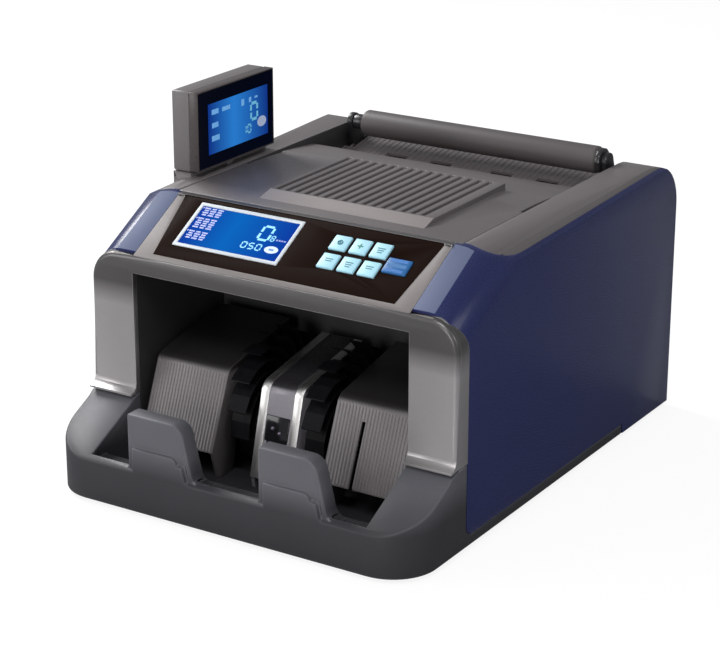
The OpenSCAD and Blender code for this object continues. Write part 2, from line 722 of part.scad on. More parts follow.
// Side cheek that stiffens a guide and carries it on the pocket's floor.
module guide_cheek() difference() {
    polygon([face_low + [1, 0], face_top + [1.5, -1], [face_top[0] + 9, face_top[1] + 1],
        shelf_end + [0, -1], [shelf_end[0], 84], [face_top[0] + 14, 66], [20, pit_z], [4, pit_z]]);
}
module stacker_guide_left() color("gray") seat() mirror([1, 0, 0]) stacker_guide(false);
module stacker_guide_right() color("gray") seat() stacker_guide(true);

module stacker_saddle() color("gray") seat() difference() {
    union() {
        span_x(-saddle_x, saddle_x) bent_strip(saddle_low, saddle_top, saddle_end, wall);
        for (s = [0, 1]) mirror([s, 0, 0]) span_x(saddle_x - wall, saddle_x) saddle_cheek();
    }
    window_box(slip);
    strip_cut();
}
module saddle_cheek() difference() {
    polygon([saddle_low + [1, 0], saddle_top + [1.5, -1], [saddle_top[0] + 9, saddle_top[1] + 1],
        saddle_end + [0, -1], [saddle_end[0], 76], [70, 60], [36, pit_z], [4, pit_z]]);
    translate([stack_y, stack_z]) circle(shaft_r + 2);
}
strip_t = 1;
module strip_cut() for (s = [0, 1]) mirror([s, 0, 0])
    span_x(saddle_x - strip_w - slip, saddle_x + 1)
        bent_strip(saddle_low, saddle_top, saddle_end, strip_t);
module saddle_strips() color("silver") seat() for (s = [0, 1]) mirror([s, 0, 0])
    span_x(saddle_x - strip_w, saddle_x) bent_strip(saddle_low, saddle_top, saddle_end, strip_t);
window_s = 14;
window_z = 44;
module window_box(grow) {
    a = atan2(saddle_top[0] - saddle_low[0], saddle_top[1] - saddle_low[1]);
    y = saddle_low[0] + (window_z - saddle_low[1]) * tan(a);
    translate([0, y, window_z]) rotate([-a, 0, 0])
        box([-window_s / 2 - grow, -0.5, -window_s / 2 - grow],
            [window_s / 2 + grow, 4, window_s / 2 + grow]);
}
module sensor_window() color("black") seat() window_box(0);

// Hopper plate and note chute ----------------------------------------------------------

roller_gap = 1.5;
module hopper_plate() color("dimgray") seat() difference() {
    translate([0, hopper_y, hopper_z]) rotate([hopper_a, 0, 0])
        box([seam - hopper_x, 0, -wall], [hopper_x - seam, hopper_l, 0]);
    for (x = roller_xs) box([x - roller_w / 2 - roller_gap, hopper_y + 6, 0],
        [x + roller_w / 2 + roller_gap, pickup_y + pickup_r + 4, big]);
    for (s = [0, 1]) mirror([s, 0, 0])
        box([bar_l / 2 - cover_gap, arm_y - arm_half - 4, 0], [hopper_x + 1, arm_y + arm_half + 7, big]);
}
chute_top = [feed_y - 22, feed_z + 6];
chute_end = [liner_back + wall + seam, open_top - 14];
module note_chute() color("dimgray") seat() {
    span_x(-liner_x, liner_x) polygon([chute_end, chute_top, chute_top - [0, wall],
        chute_end - [0, wall]]);
    for (s = [0, 1]) mirror([s, 0, 0])
        box([liner_x - eps, chute_top[0] - 50, chute_top[1] - 16],
            [plate_x - seam / 2, chute_top[0] - 40, chute_top[1] - 9]);
}

// Chassis plates, rods and bushes ---------------------------------------------------------

shafts = [[feed_y, feed_z], [pickup_y, pickup_z], [stack_y, stack_z]];
rods = [[128, 13], [110, 100], [rear_y - 16.5, body_h - 46], [rear_y - 67.5, 13]];
plate_cut = 12;         // bevel at the rear top corner of a plate
module plate_outline() difference() {
    polygon([[guide_y, pit_z], [plate_end, pit_z], [plate_end, plate_top - plate_cut],
        [plate_end - 22, plate_top], [feed_y + 16, plate_top], [feed_y + 12, retard_z + 7],
        [feed_y - 14, retard_z + 7], [liner_back, plate_top], [guide_y, plate_top]]);
    for (p = shafts) translate(p) circle(bush_r);
    for (p = rods) translate(p) circle(rod_r);
    translate([retard_y, retard_z]) circle(retard_shaft_r);
}
module chassis_plate_right() color("silver") seat() difference() {
    span_x(plate_x, plate_x + plate_t) plate_outline();
    rod_x(plate_x - 1, plate_x + plate_t + 1, motor_y, motor_z, 6);
}
module chassis_plate_left() color("silver") seat() difference() {
    mirror([1, 0, 0]) span_x(plate_x, plate_x + plate_t) plate_outline();
    rod_x(-plate_x - plate_t - 1, 1 - plate_x, smotor_y, smotor_z, 6);
}
module tie_rods() color("silver") seat() for (p = rods)
    rod_x(-plate_x - plate_t, plate_x + plate_t, p[0], p[1], rod_r);
module shaft_bushes() color("goldenrod") seat() for (s = [0, 1]) for (p = shafts)
    mirror([s, 0, 0]) difference() {
        union() {
            rod_x(plate_x, plate_x + plate_t + bush_rim, p[0], p[1], bush_r);
            rod_x(plate_x + plate_t, plate_x + plate_t + bush_rim, p[0], p[1], bush_r + 1.5);
        }
        rod_x(plate_x - 1, plate_x + plate_t + bush_rim + 1, p[0], p[1], shaft_r + run_gap);
    }

// Shafts, rollers and pulleys --------------------------------------------------------------

shaft_end = pulley_x + pulley_w;
module roller_set(y, z, r) for (x = roller_xs) difference() {
    rod_x(x - roller_w / 2, x + roller_w / 2, y, z, r);
    rod_x(x - roller_w / 2 - 1, x + roller_w / 2 + 1, y, z, shaft_r);
}
module pulley(x, y, z, r, hole) difference() {
    union() {
        rod_x(x, x + pulley_w, y, z, r);
        rod_x(x, x + flange_h, y, z, r + 2 * belt_t);
        rod_x(x + pulley_w - flange_h, x + pulley_w, y, z, r + 2 * belt_t);
    }
    rod_x(x - 1, x + pulley_w + 1, y, z, hole);
}
module feed_shaft() color("silver") seat() rod_x(-shaft_end, shaft_end, feed_y, feed_z, shaft_r);
module feed_rollers() color("saddlebrown") seat() roller_set(feed_y, feed_z, feed_r);
module feed_pulleys() color("white") seat() {
    pulley(pulley_x, feed_y, feed_z, feed_pulley_r, shaft_r);
    pulley(-pulley_x - pulley_w, feed_y, feed_z, feed_small_r, shaft_r);
}
module pickup_shaft() color("silver") seat()
    rod_x(-shaft_end, plate_x + plate_t + 1, pickup_y, pickup_z, shaft_r);
module pickup_rollers() color("saddlebrown") seat() roller_set(pickup_y, pickup_z, pickup_r);
module pickup_pulley() color("white") seat()
    pulley(-pulley_x - pulley_w, pickup_y, pickup_z, pickup_pulley_r, shaft_r);
module retard_rollers() color("black") seat() {
    for (x = [-24, 24]) rod_x(x - 6, x + 6, retard_y, retard_z, retard_r);
    rod_x(-plate_x - plate_t, plate_x + plate_t, retard_y, retard_z, retard_shaft_r);
}
module stacker_shaft() color("silver") seat()
    rod_x(-shaft_end, plate_x + plate_t + 1, stack_y, stack_z, shaft_r);
module stacker_pulley() color("white") seat()
    pulley(-pulley_x - pulley_w, stack_y, stack_z, stacker_pulley_r, shaft_r);

hub_r = 16;
blade_t = 2.2;
blade_sweep = 75;
blade_steps = 7;
function blade_point(i, shift) =
    let (r = hub_r - 2 + (wheel_r - hub_r + 2) * i / blade_steps)
    let (a = blade_sweep * pow(i / blade_steps, 1.3) + shift * 57.3 * blade_t / r)
    [r * cos(a), r * sin(a)];
module wheel_outline() difference() {
    union() {
        circle(hub_r);
        for (k = [0:blade_n - 1]) rotate(k * 360 / blade_n) polygon(concat(
            [for (i = [0:blade_steps]) blade_point(i, 0)],
            [for (i = [blade_steps:-1:0]) blade_point(i, 1 - 0.7 * i / blade_steps)]));
    }
    circle(shaft_r);
}
module stacker_wheel() translate([wheel_in, stack_y, stack_z]) rotate([90, 0, 90])
    linear_extrude(wheel_w) wheel_outline();
module stacker_wheel_right() color("black") seat() stacker_wheel();
module stacker_wheel_left() color("black") seat() translate([-2 * wheel_in - wheel_w, 0, 0]) stacker_wheel();

// Motors and belts ------------------------------------------------------------------------------

module motor(x0, x1, y, z, r, shaft_x) difference() {
    rod_x(x0, x1, y, z, r);
    rod_x(min(x0, shaft_x) - 1, max(x1, shaft_x) + 1, y, z, motor_shaft_r + run_gap);
}
module drive_motor() color("silver") seat()
    motor(plate_x - motor_l, plate_x, motor_y, motor_z, motor_r, plate_x);
module stacker_motor() color("silver") seat()
    motor(-plate_x, smotor_l - plate_x, smotor_y, smotor_z, smotor_r, -plate_x);
module motor_pulley() color("white") seat() {
    pulley(pulley_x, motor_y, motor_z, motor_pulley_r, motor_shaft_r - eps);
    rod_x(plate_x - motor_l + 4, shaft_end, motor_y, motor_z, motor_shaft_r);
}
module stacker_motor_pulley() color("white") seat() {
    pulley(-pulley_x - pulley_w, smotor_y, smotor_z, small_pulley_r, motor_shaft_r - eps);
    rod_x(-shaft_end, smotor_l - plate_x - 4, smotor_y, smotor_z, motor_shaft_r);
}
// Closed loop round two pulleys at p and q.
module belt_loop(p, rp, q, rq, grow) {
    d = norm(q - p);
    a = atan2(q[1] - p[1], q[0] - p[0]);
    lean = acos((rp - rq) / d);
    polygon(concat(
        arc(p[0], p[1], rp + grow, a + lean, a + 360 - lean),
        arc(q[0], q[1], rq + grow, a - lean, a + lean)));
}
module belt(x, p, rp, q, rq) span_x(x + flange_h + belt_gap, x + pulley_w - flange_h - belt_gap)
    difference() {
        belt_loop(p, rp, q, rq, belt_gap + belt_t);
        belt_loop(p, rp, q, rq, belt_gap);
    }
module drive_belt() color("black") seat()
    belt(pulley_x, [motor_y, motor_z], motor_pulley_r, [feed_y, feed_z], feed_pulley_r);
module pickup_belt() color("black") seat() belt(-pulley_x - pulley_w,
    [feed_y, feed_z], feed_small_r, [pickup_y, pickup_z], pickup_pulley_r);
module stacker_belt() color("black") seat() belt(-pulley_x - pulley_w,
    [stack_y, stack_z], stacker_pulley_r, [smotor_y, smotor_z], small_pulley_r);

// Electronics ------------------------------------------------------------------------------------

main_w = 80;
main_l = 76;
main_x = -60;
main_y = rear_y - 151.5;
spacer_h = 6;           // pillars that carry the main board
spacer_in = 6;
chip_s = 22;
chip_h = 5;
plug_w = 20;
plug_d = 10;
plug_h = 12;
main_z = wall + spacer_h;
module main_board() color("darkgreen") seat() translate([main_x, main_y, 0]) {
    translate([0, 0, main_z]) cube([main_w, main_l, board_t]);
    for (x = [spacer_in, main_w - spacer_in]) for (y = [spacer_in, main_l - spacer_in])
        translate([x, y, wall]) cylinder(h = spacer_h, r = 3);
    translate([main_w / 4, main_l / 4, main_z]) cube([chip_s, chip_s, chip_h]);
    translate([main_w * 0.65, main_l * 0.65, main_z]) cube([plug_w, plug_d, plug_h]);
}
// Folded case, open at the corner behind the mains inlet.
supply_w = 100;
supply_l = 54;
supply_h = 52;
supply_x = 9 - plate_x;
supply_cut = [70, 28, 16];
module power_supply() color("silver") seat() translate([supply_x, rear_y - 5.5 - supply_l, 0])
    difference() {
        translate([0, 0, wall]) cube([supply_w, supply_l, supply_h - wall]);
        translate([wall, wall, supply_h - 4]) cube([supply_w - 2 * wall, supply_l - 2 * wall, 10]);
        translate([-1, supply_l - supply_cut[1], supply_cut[2]])
            cube([supply_cut[0] + 1, supply_l, supply_h]);
    }
foot_r = 9;
foot_at = [[half_w - 63, tray_r - tray_d - 16], [half_w - 31, body_d - 29]];
module rubber_feet() color("black") seat() for (s = [-1, 1]) for (p = foot_at)
    translate([s * p[0], p[1], -foot_h]) cylinder(h = foot_h, r1 = foot_r - 1, r2 = foot_r);

// Top cover ------------------------------------------------------------------------------------------

function cover_z(y) = body_h - (y < cover_bend ? 0
    : cover_dip * pow((y - cover_bend) / (cover_end - cover_bend), 1.6));
cover_steps = 6;
cover_line = concat([[cover_front, body_h], [cover_bend, body_h]],
    [for (i = [1:cover_steps]) let (y = cover_bend + (cover_end - cover_bend) * i / cover_steps)
        [y, cover_z(y)]]);
module cover_profile() polygon(concat(cover_line,
    [for (i = [len(cover_line) - 1:-1:0]) cover_line[i] - [0, cover_t]]));
knuckle_xs = [12.8 - cover_x, -30, 30, cover_x - 12.8];
module top_cover() color("dimgray") seat() difference() {
    union() {
        span_x(-cover_x, cover_x) cover_profile();
        span_x(plateau_x0, plateau_x1) polygon([[plateau_y, body_h - 1], [plateau_y, body_h],
            [plateau_y + plateau_rise, body_h + plateau_h],
            [plateau_y + plateau_l, body_h + plateau_h], [plateau_y + plateau_l, body_h - 3]]);
        for (x = knuckle_xs) rod_x(x - 8, x + 8, pin_y, pin_z, pin_r + 2.2);
    }
    for (s = [0, 1]) mirror([s, 0, 0])
        box([cover_x - slot_w, slot_y, 0], [cover_x + 1, slot_y + slot_l, body_h + 1]);
    for (i = [0:groove_n - 1]) groove(groove_x + (i - (groove_n - 1) / 2) * groove_pitch);
    rod_x(-cover_x - 1, cover_x + 1, pin_y, pin_z, pin_r);
}
module groove(x) box([x - groove_w / 2, plateau_y + plateau_rise + groove_end,
    body_h + plateau_h - groove_deep],
    [x + groove_w / 2, plateau_y + plateau_l - groove_end, body_h + plateau_h + 1]);
module cover_hinge_pin() color("silver") seat()
    rod_x(-hopper_x - wall, hopper_x + wall, pin_y, pin_z, pin_r);

// Note rest --------------------------------------------------------------------------------------------

module note_rest() color("dimgray") seat() difference() {
    rod_x(-bar_l / 2, bar_l / 2, bar_y, bar_z, bar_r);
    rod_x(wall - bar_l / 2, bar_l / 2 - wall, bar_y, bar_z, bar_r - wall);
}
module note_rest_arms() color("black") seat() for (s = [0, 1]) mirror([s, 0, 0]) {
    span_x(bar_l / 2, bar_l / 2 + arm_t) {
        translate([bar_y, bar_z]) circle(arm_half);
        translate([arm_y, arm_z]) circle(arm_half);
        translate([bar_y, bar_z]) rotate(atan2(arm_z - bar_z, arm_y - bar_y))
            translate([0, -arm_half]) square([norm([arm_y - bar_y, arm_z - bar_z]), 2 * arm_half]);
    }
    rod_x(bar_l / 2 + arm_t - eps, hopper_x + wall, arm_y, arm_z, arm_pin_r);
}

// External display ---------------------------------------------------------------------------------------

disp_z = disp_seat + disp_gap;
disp_front = disp_x + disp_t / 2;
module display_housing() color("dimgray") seat() {
    difference() {
        box([disp_x - disp_t / 2, disp_y - disp_l / 2, disp_z],
            [disp_front - disp_front_t, disp_y + disp_l / 2, disp_z + disp_h]);
        box([disp_x - disp_t / 2 + wall, disp_y - disp_l / 2 + wall, disp_z + wall],
            [disp_front, disp_y + disp_l / 2 - wall, disp_z + disp_h - wall]);
    }
    translate([disp_x, disp_y, disp_z - neck_l - disp_gap + 0.3])
        cylinder(h = neck_l + disp_gap - 0.3 + eps, r = neck_r);
}
module display_screen() color("black") seat()
    box([disp_front - disp_front_t, disp_y - disp_l / 2, disp_z + 1],
        [disp_front, disp_y + disp_l / 2, disp_z + disp_h]);

base_tray();
front_frame();
side_panel_left();
side_panel_right();
top_shell();
rear_panel();
control_panel();
lcd_frame();
lcd_screen();
keypad_board();
key_1();
key_2();
key_3();
key_4();
key_5();
key_6();
key_7();
pocket_liner();
stacker_guide_left();
stacker_guide_right();
stacker_saddle();
saddle_strips();
sensor_window();
hopper_plate();
note_chute();
chassis_plate_left();
chassis_plate_right();
tie_rods();
shaft_bushes();
feed_shaft();
feed_rollers();
feed_pulleys();
pickup_shaft();
pickup_rollers();
pickup_pulley();
retard_rollers();
stacker_shaft();
stacker_wheel_left();
stacker_wheel_right();
stacker_pulley();
drive_motor();
motor_pulley();
stacker_motor();
stacker_motor_pulley();
drive_belt();
pickup_belt();
stacker_belt();
main_board();
power_supply();
mains_inlet();
power_rocker();
display_socket();
top_cover();
cover_hinge_pin();
note_rest();
note_rest_arms();
display_housing();
display_screen();
rubber_feet();
housing_screws();
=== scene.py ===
# %% [markdown]
# # A banknote counting machine and its finish
# The construction model already gives every solid piece its size and place. This
# lesson puts a finished surface on it: rounded mouldings, ribbed guides, a lit screen,
# keys and a little grain. We could draw the whole machine again, but then it would
# drift away from its drawings, so we load them and only refine them. We work in
# metres, with X to the right, Y to the back and Z up.

# %% Load the frame
import math

import json

import bpy
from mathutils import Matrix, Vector

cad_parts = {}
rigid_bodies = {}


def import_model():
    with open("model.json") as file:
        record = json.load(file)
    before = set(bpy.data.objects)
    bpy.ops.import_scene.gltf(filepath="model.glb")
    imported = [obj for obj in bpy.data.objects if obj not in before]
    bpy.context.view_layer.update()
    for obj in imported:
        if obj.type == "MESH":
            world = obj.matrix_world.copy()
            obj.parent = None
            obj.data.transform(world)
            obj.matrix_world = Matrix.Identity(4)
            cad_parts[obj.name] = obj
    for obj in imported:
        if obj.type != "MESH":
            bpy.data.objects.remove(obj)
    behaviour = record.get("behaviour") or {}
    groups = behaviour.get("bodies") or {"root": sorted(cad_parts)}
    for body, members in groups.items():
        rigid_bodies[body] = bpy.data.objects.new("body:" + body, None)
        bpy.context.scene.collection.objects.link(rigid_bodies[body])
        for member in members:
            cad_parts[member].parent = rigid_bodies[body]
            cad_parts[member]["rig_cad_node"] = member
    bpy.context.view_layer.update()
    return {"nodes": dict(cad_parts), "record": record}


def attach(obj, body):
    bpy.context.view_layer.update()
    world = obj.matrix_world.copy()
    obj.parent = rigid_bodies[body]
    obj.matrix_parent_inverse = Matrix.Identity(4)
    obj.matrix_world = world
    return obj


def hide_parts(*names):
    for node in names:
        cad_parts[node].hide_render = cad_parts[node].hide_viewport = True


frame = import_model()

# %% [markdown]
# The measurements below were made from the front face of the two posts and from the underside
# of the base, in millimetres, because a ruler is laid there on a real machine. `at` turns such
# a point into metres in the machine's own frame, and `on_slope` does the same for the tilted
# control panel, so no piece needs its own sums.

# %% A point measured on the machine
MM = 0.001
BODY_D = 297.0
TRAY_D = 52.0
FOOT_H = 3.0
BODY_H = 176.0
SLOPE_A = math.radians(29.3)
SLOPE_Y = 1.0
SLOPE_Z = 147.4


def at(x, y, z):
    """A point in millimetres from the posts' front and the base's underside."""
    return Vector((x, y + (TRAY_D - BODY_D) / 2, z + FOOT_H)) * MM


def on_slope(x, v, w=0.0):
    """A point x across and v up the control panel, w above it."""
    return at(
        x,
        SLOPE_Y + v * math.cos(SLOPE_A) - w * math.sin(SLOPE_A),
        SLOPE_Z + v * math.sin(SLOPE_A) + w * math.cos(SLOPE_A),
    )


print("front lower corner of the slope", on_slope(0, 0))

# %% [markdown]
# ## Camera and light
# The camera stands well back with a long lens, to the right of the machine and a
# little above it. A short lens close by would show the same faces, but it would make
# the near corner of the base look far too big.

# %% Camera
CAMERA_TURN = math.radians(32.3)
CAMERA_DROP = math.radians(20.0)
CAMERA_PLACE = (0.7369, -1.1808, 0.5895)
bpy.ops.object.camera_add(
    location=CAMERA_PLACE,
    rotation=(math.pi / 2 - CAMERA_DROP, 0.0, CAMERA_TURN),
)
camera = bpy.context.object
camera.name = "portrait_camera"
camera.data.lens = 112.4
camera.data.sensor_width = 36.0
bpy.context.scene.camera = camera
bpy.context.scene.view_settings.view_transform = "Standard"
print("camera at", camera.location)

# %% [markdown]
# Small hard lamps would draw a sharp dot on every round edge. Square soft boxes keep
# the plastic readable: the strongest stands high on the left and throws the display's
# shadow over the cover, and a second hangs above the front. Two lower ones light the
# left side and the pocket, and a weak one fills the right side.


# %% Soft lamps
def soft_lamp(name, place, aim, size, power):
    """A square soft box that points from place to aim."""
    bpy.ops.object.light_add(type="AREA", location=place)
    lamp = bpy.context.object
    lamp.name = name
    lamp.data.size = size
    lamp.data.energy = power
    lamp.rotation_euler = (Vector(aim) - Vector(place)).to_track_quat("-Z", "Y").to_euler()
    print("lamp", name, power, "W")


soft_lamp("overhead_box", (-1.15, 0.25, 1.08), (0, 0, 0.12), 0.6, 21)
soft_lamp("brow_box", (0.25, -1.0, 1.35), (0, -0.05, 0.1), 0.5, 9)
soft_lamp("left_box", (-1.2, -1.3, 0.55), (0, 0, 0.1), 0.8, 7.5)
soft_lamp("front_box", (0.2, -1.9, 0.35), (0, 0, 0.08), 0.6, 7)
soft_lamp("right_box", (1.6, -0.3, 0.9), (0, 0, 0.1), 0.5, 3.5)

# %% [markdown]
# The room behind is white for the camera and a mild grey for everything else, so it
# brightens nothing. A white room that lit the machine too would flatten every curve.

# %% World
world = bpy.data.worlds.new("studio")
bpy.context.scene.world = world
world.use_nodes = True
room = world.node_tree.nodes
links = world.node_tree.links
room.clear()
out = room.new("ShaderNodeOutputWorld")
seen_white = room.new("ShaderNodeBackground")
seen_white.inputs["Color"].default_value = (1, 1, 1, 1)
seen_white.inputs["Strength"].default_value = 1.0
fill_grey = room.new("ShaderNodeBackground")
fill_grey.inputs["Color"].default_value = (0.95, 0.97, 1.0, 1)
fill_grey.inputs["Strength"].default_value = 0.33
choose = room.new("ShaderNodeMixShader")
path = room.new("ShaderNodeLightPath")
links.new(path.outputs["Is Camera Ray"], choose.inputs["Fac"])
links.new(fill_grey.outputs[0], choose.inputs[1])
links.new(seen_white.outputs[0], choose.inputs[2])
links.new(choose.outputs[0], out.inputs["Surface"])
print("room with", len(room), "nodes")

# %% [markdown]
# The machine stands on a sheet of white paper that keeps its shadow. Plain white
# paper would come out grey under these lamps, so for the camera it glows a little. In
# reflections it is a darker grey, or it would wash out the navy sides.

# %% Floor
bpy.ops.object.select_all(action="DESELECT")
bpy.ops.mesh.primitive_plane_add(size=8, location=(0, 0, 0))
floor = bpy.context.object
floor.name = "studio_floor"
paper = bpy.data.materials.new("floor_paper")
paper.use_nodes = True
tree = paper.node_tree
tree.nodes.clear()
out = tree.nodes.new("ShaderNodeOutputMaterial")
lit = tree.nodes.new("ShaderNodeBsdfDiffuse")
lit.inputs["Color"].default_value = (0.86, 0.86, 0.86, 1)
glow = tree.nodes.new("ShaderNodeEmission")
glow.inputs["Color"].default_value = (1, 1, 1, 1)
glow.inputs["Strength"].default_value = 1.09
dim = tree.nodes.new("ShaderNodeBsdfDiffuse")
dim.inputs["Color"].default_value = (0.30, 0.30, 0.31, 1)
seen = tree.nodes.new("ShaderNodeMixShader")
both = tree.nodes.new("ShaderNodeMixShader")
path = tree.nodes.new("ShaderNodeLightPath")
part = tree.nodes.new("ShaderNodeMath")
part.operation = "MULTIPLY"
part.inputs[1].default_value = 0.8
tree.links.new(path.outputs["Is Camera Ray"], part.inputs[0])
tree.links.new(part.outputs[0], both.inputs["Fac"])
tree.links.new(path.outputs["Is Glossy Ray"], seen.inputs["Fac"])
tree.links.new(lit.outputs[0], seen.inputs[1])
tree.links.new(dim.outputs[0], seen.inputs[2])
tree.links.new(seen.outputs[0], both.inputs[1])
tree.links.new(glow.outputs[0], both.inputs[2])
tree.links.new(both.outputs[0], out.inputs["Surface"])
floor.data.materials.append(paper)
print("floor ready")

# %% [markdown]
# ## Finishes
# Most of the machine is injection-moulded plastic with a fine spark-eroded grain.
# A few small tools make them all: a colour that drifts a little from place to place,
# a roughness that follows a fine noise, and a bump of the same noise for the grain.
# An image of real plastic could do it too, but it would have to be unwrapped on every
# piece, while noise in the piece's own coordinates fits them all.


# %% Small tools for materials
def new_material(name):
    """A material, its tree, its shader and the piece's own coordinates."""
    made = bpy.data.materials.new(name)
    made.use_nodes = True
    tree = made.node_tree
    shader = tree.nodes["Principled BSDF"]
    where = tree.nodes.new("ShaderNodeTexCoord")
    return made, tree, shader, where.outputs["Object"]


def noise(tree, where, scale, detail=2.0):
    """A cloudy 0 to 1 pattern, finer with a larger scale."""
    node = tree.nodes.new("ShaderNodeTexNoise")
    node.inputs["Scale"].default_value = scale
    node.inputs["Detail"].default_value = detail
    tree.links.new(where, node.inputs["Vector"])
    return node.outputs["Fac"]


def spread(tree, value, low, high):
    """Maps a 0 to 1 noise to the range low to high."""
    node = tree.nodes.new("ShaderNodeMapRange")
    node.inputs["From Min"].default_value = 0.3
    node.inputs["From Max"].default_value = 0.7
    node.inputs["To Min"].default_value = low
    node.inputs["To Max"].default_value = high
    tree.links.new(value, node.inputs["Value"])
    return node.outputs["Result"]


print("noise tools ready")

# %% [markdown]
# Colours are blended by a Mix node, and a Bump node raises the grain. A shade of a
# colour is worked out here in the script, which keeps the materials small.


# %% Blend, raise and shade
def blend_colours(tree, factor, first, second):
    """Mixes two colours, each a tuple or a socket, by a number or a socket."""
    node = tree.nodes.new("ShaderNodeMix")
    node.data_type = "RGBA"
    if isinstance(factor, float):
        node.inputs[0].default_value = factor
    else:
        tree.links.new(factor, node.inputs[0])
    for socket, colour in ((node.inputs[6], first), (node.inputs[7], second)):
        if isinstance(colour, tuple):
            socket.default_value = (*colour, 1)
        else:
            tree.links.new(colour, socket)
    return node.outputs[2]


def grain_bump(tree, shader, height, strength, depth):
    """Raises the surface's grain by depth metres."""
    node = tree.nodes.new("ShaderNodeBump")
    node.inputs["Strength"].default_value = strength
    node.inputs["Distance"].default_value = depth
    tree.links.new(height, node.inputs["Height"])
    tree.links.new(node.outputs["Normal"], shader.inputs["Normal"])


def shade_of(colour, factor):
    """The colour made lighter or darker, never past white."""
    return tuple(min(1.0, c * factor) for c in colour)


print("material tools ready")

# %% [markdown]
# Two things make a moulding look used and solid. Its edges are a touch lighter, partly where
# hands and cloths have polished them and partly as a painted highlight, and the Bevel node
# finds those. Some mouldings also get painted light or shade that changes with height, such as
# the guides, which are painted dark behind their bend, where they lie in shade.


# %% Painted light by height and pale edges
def painted_light_by_height(tree, where, colour, low, high, factor):
    """Painted light or shade by height: colour below low, and colour times factor above high,
    in metres.
    """
    parts = tree.nodes.new("ShaderNodeSeparateXYZ")
    tree.links.new(where, parts.inputs[0])
    rise = tree.nodes.new("ShaderNodeMapRange")
    rise.inputs["From Min"].default_value = low
    rise.inputs["From Max"].default_value = high
    tree.links.new(parts.outputs["Z"], rise.inputs["Value"])
    return blend_colours(tree, rise.outputs["Result"], colour, shade_of(colour, factor))


def edge_wear_and_highlight(tree, radius=0.7):
    """1 where two faces meet at a sharp edge, 0 on flat ground: the mask of edge wear and
    painted highlight.
    """
    bend = tree.nodes.new("ShaderNodeBevel")
    bend.samples = 4
    bend.inputs["Radius"].default_value = radius * MM
    flat = tree.nodes.new("ShaderNodeNewGeometry")
    dot = tree.nodes.new("ShaderNodeVectorMath")
    dot.operation = "DOT_PRODUCT"
    tree.links.new(bend.outputs["Normal"], dot.inputs[0])
    tree.links.new(flat.outputs["Normal"], dot.inputs[1])
    turn = tree.nodes.new("ShaderNodeMapRange")
    turn.inputs["From Min"].default_value = 0.995
    turn.inputs["From Max"].default_value = 0.85
    turn.inputs["To Min"].default_value = 0.0
    turn.inputs["To Max"].default_value = 0.8
    tree.links.new(dot.outputs["Value"], turn.inputs["Value"])
    return turn.outputs["Result"]


print("edge and height tools ready")

# %% [markdown]
# The plastic itself joins these tools. `drift` is how far the colour wanders, `grain` how fine
# the surface is, `wear_and_highlight` how much paler the edges are, by wear and by a painted
# highlight, `height_painted_light` gives the heights between which painted light or shade
# changes the tone and by how much, and `edge` is the width of the pale edge in millimetres.


# %% A plastic
def plastic(
    name,
    colour,
    rough=0.45,
    drift=0.10,
    grain=1400,
    depth=0.00006,
    wear_and_highlight=1.35,
    shine=0.5,
    height_painted_light=None,
    edge=0.7,
):
    """Moulded plastic: drifting colour, uneven polish, fine grain, pale edges of wear and
    painted highlight, and painted light by height where asked.
    """
    made, tree, shader, where = new_material(name)
    broad = noise(tree, where, 22, 3)
    base = blend_colours(tree, broad, shade_of(colour, 1 - drift), shade_of(colour, 1 + drift))
    # painted light or shade: the tone changes with height
    if height_painted_light:
        for socket, factor in ((6, 1 - drift), (7, 1 + drift)):
            tone = painted_light_by_height(tree, where, shade_of(colour, factor), *height_painted_light)
            tree.links.new(tone, base.node.inputs[socket])
    # pale edges: part wear, part painted highlight
    if wear_and_highlight > 1:
        base = blend_colours(tree, edge_wear_and_highlight(tree, edge), base, shade_of(colour, wear_and_highlight))
    tree.links.new(base, shader.inputs["Base Color"])
    fine = noise(tree, where, grain, 1)
    tree.links.new(spread(tree, fine, rough - 0.06, rough + 0.06), shader.inputs["Roughness"])
    grain_bump(tree, shader, fine, 0.5, depth)
    shader.inputs["Specular IOR Level"].default_value = shine
    return made


print("plastic ready")

# %% [markdown]
# Metal pieces use the same idea with a stretched noise, which reads as brushing or
# turning marks. The silver frame is plastic under a metallic paint, so it is only
# partly metallic, with fine flakes. Rubber is dull, with coarser mottling.


# %% Metal, silver paint and rubber
def metal(name, colour, rough=0.3, stretch=(1, 40, 40), scale=60, depth=0.00003):
    """Worked metal: the noise is squeezed across the direction of the tool marks."""
    made, tree, shader, where = new_material(name)
    squeeze = tree.nodes.new("ShaderNodeMapping")
    squeeze.inputs["Scale"].default_value = stretch
    tree.links.new(where, squeeze.inputs["Vector"])
    marks = noise(tree, squeeze.outputs["Vector"], scale, 2)
    tint = blend_colours(tree, marks, shade_of(colour, 0.88), shade_of(colour, 1.08))
    tree.links.new(tint, shader.inputs["Base Color"])
    tree.links.new(spread(tree, marks, rough - 0.08, rough + 0.1), shader.inputs["Roughness"])
    shader.inputs["Metallic"].default_value = 1.0
    grain_bump(tree, shader, marks, 0.35, depth)
    return made


# Painted shade: the silver frame is painted darker from these heights up, over the bridge and
# the parts above it.
BRIDGE_PAINTED_SHADE = (0.116, 0.131, 0.29)


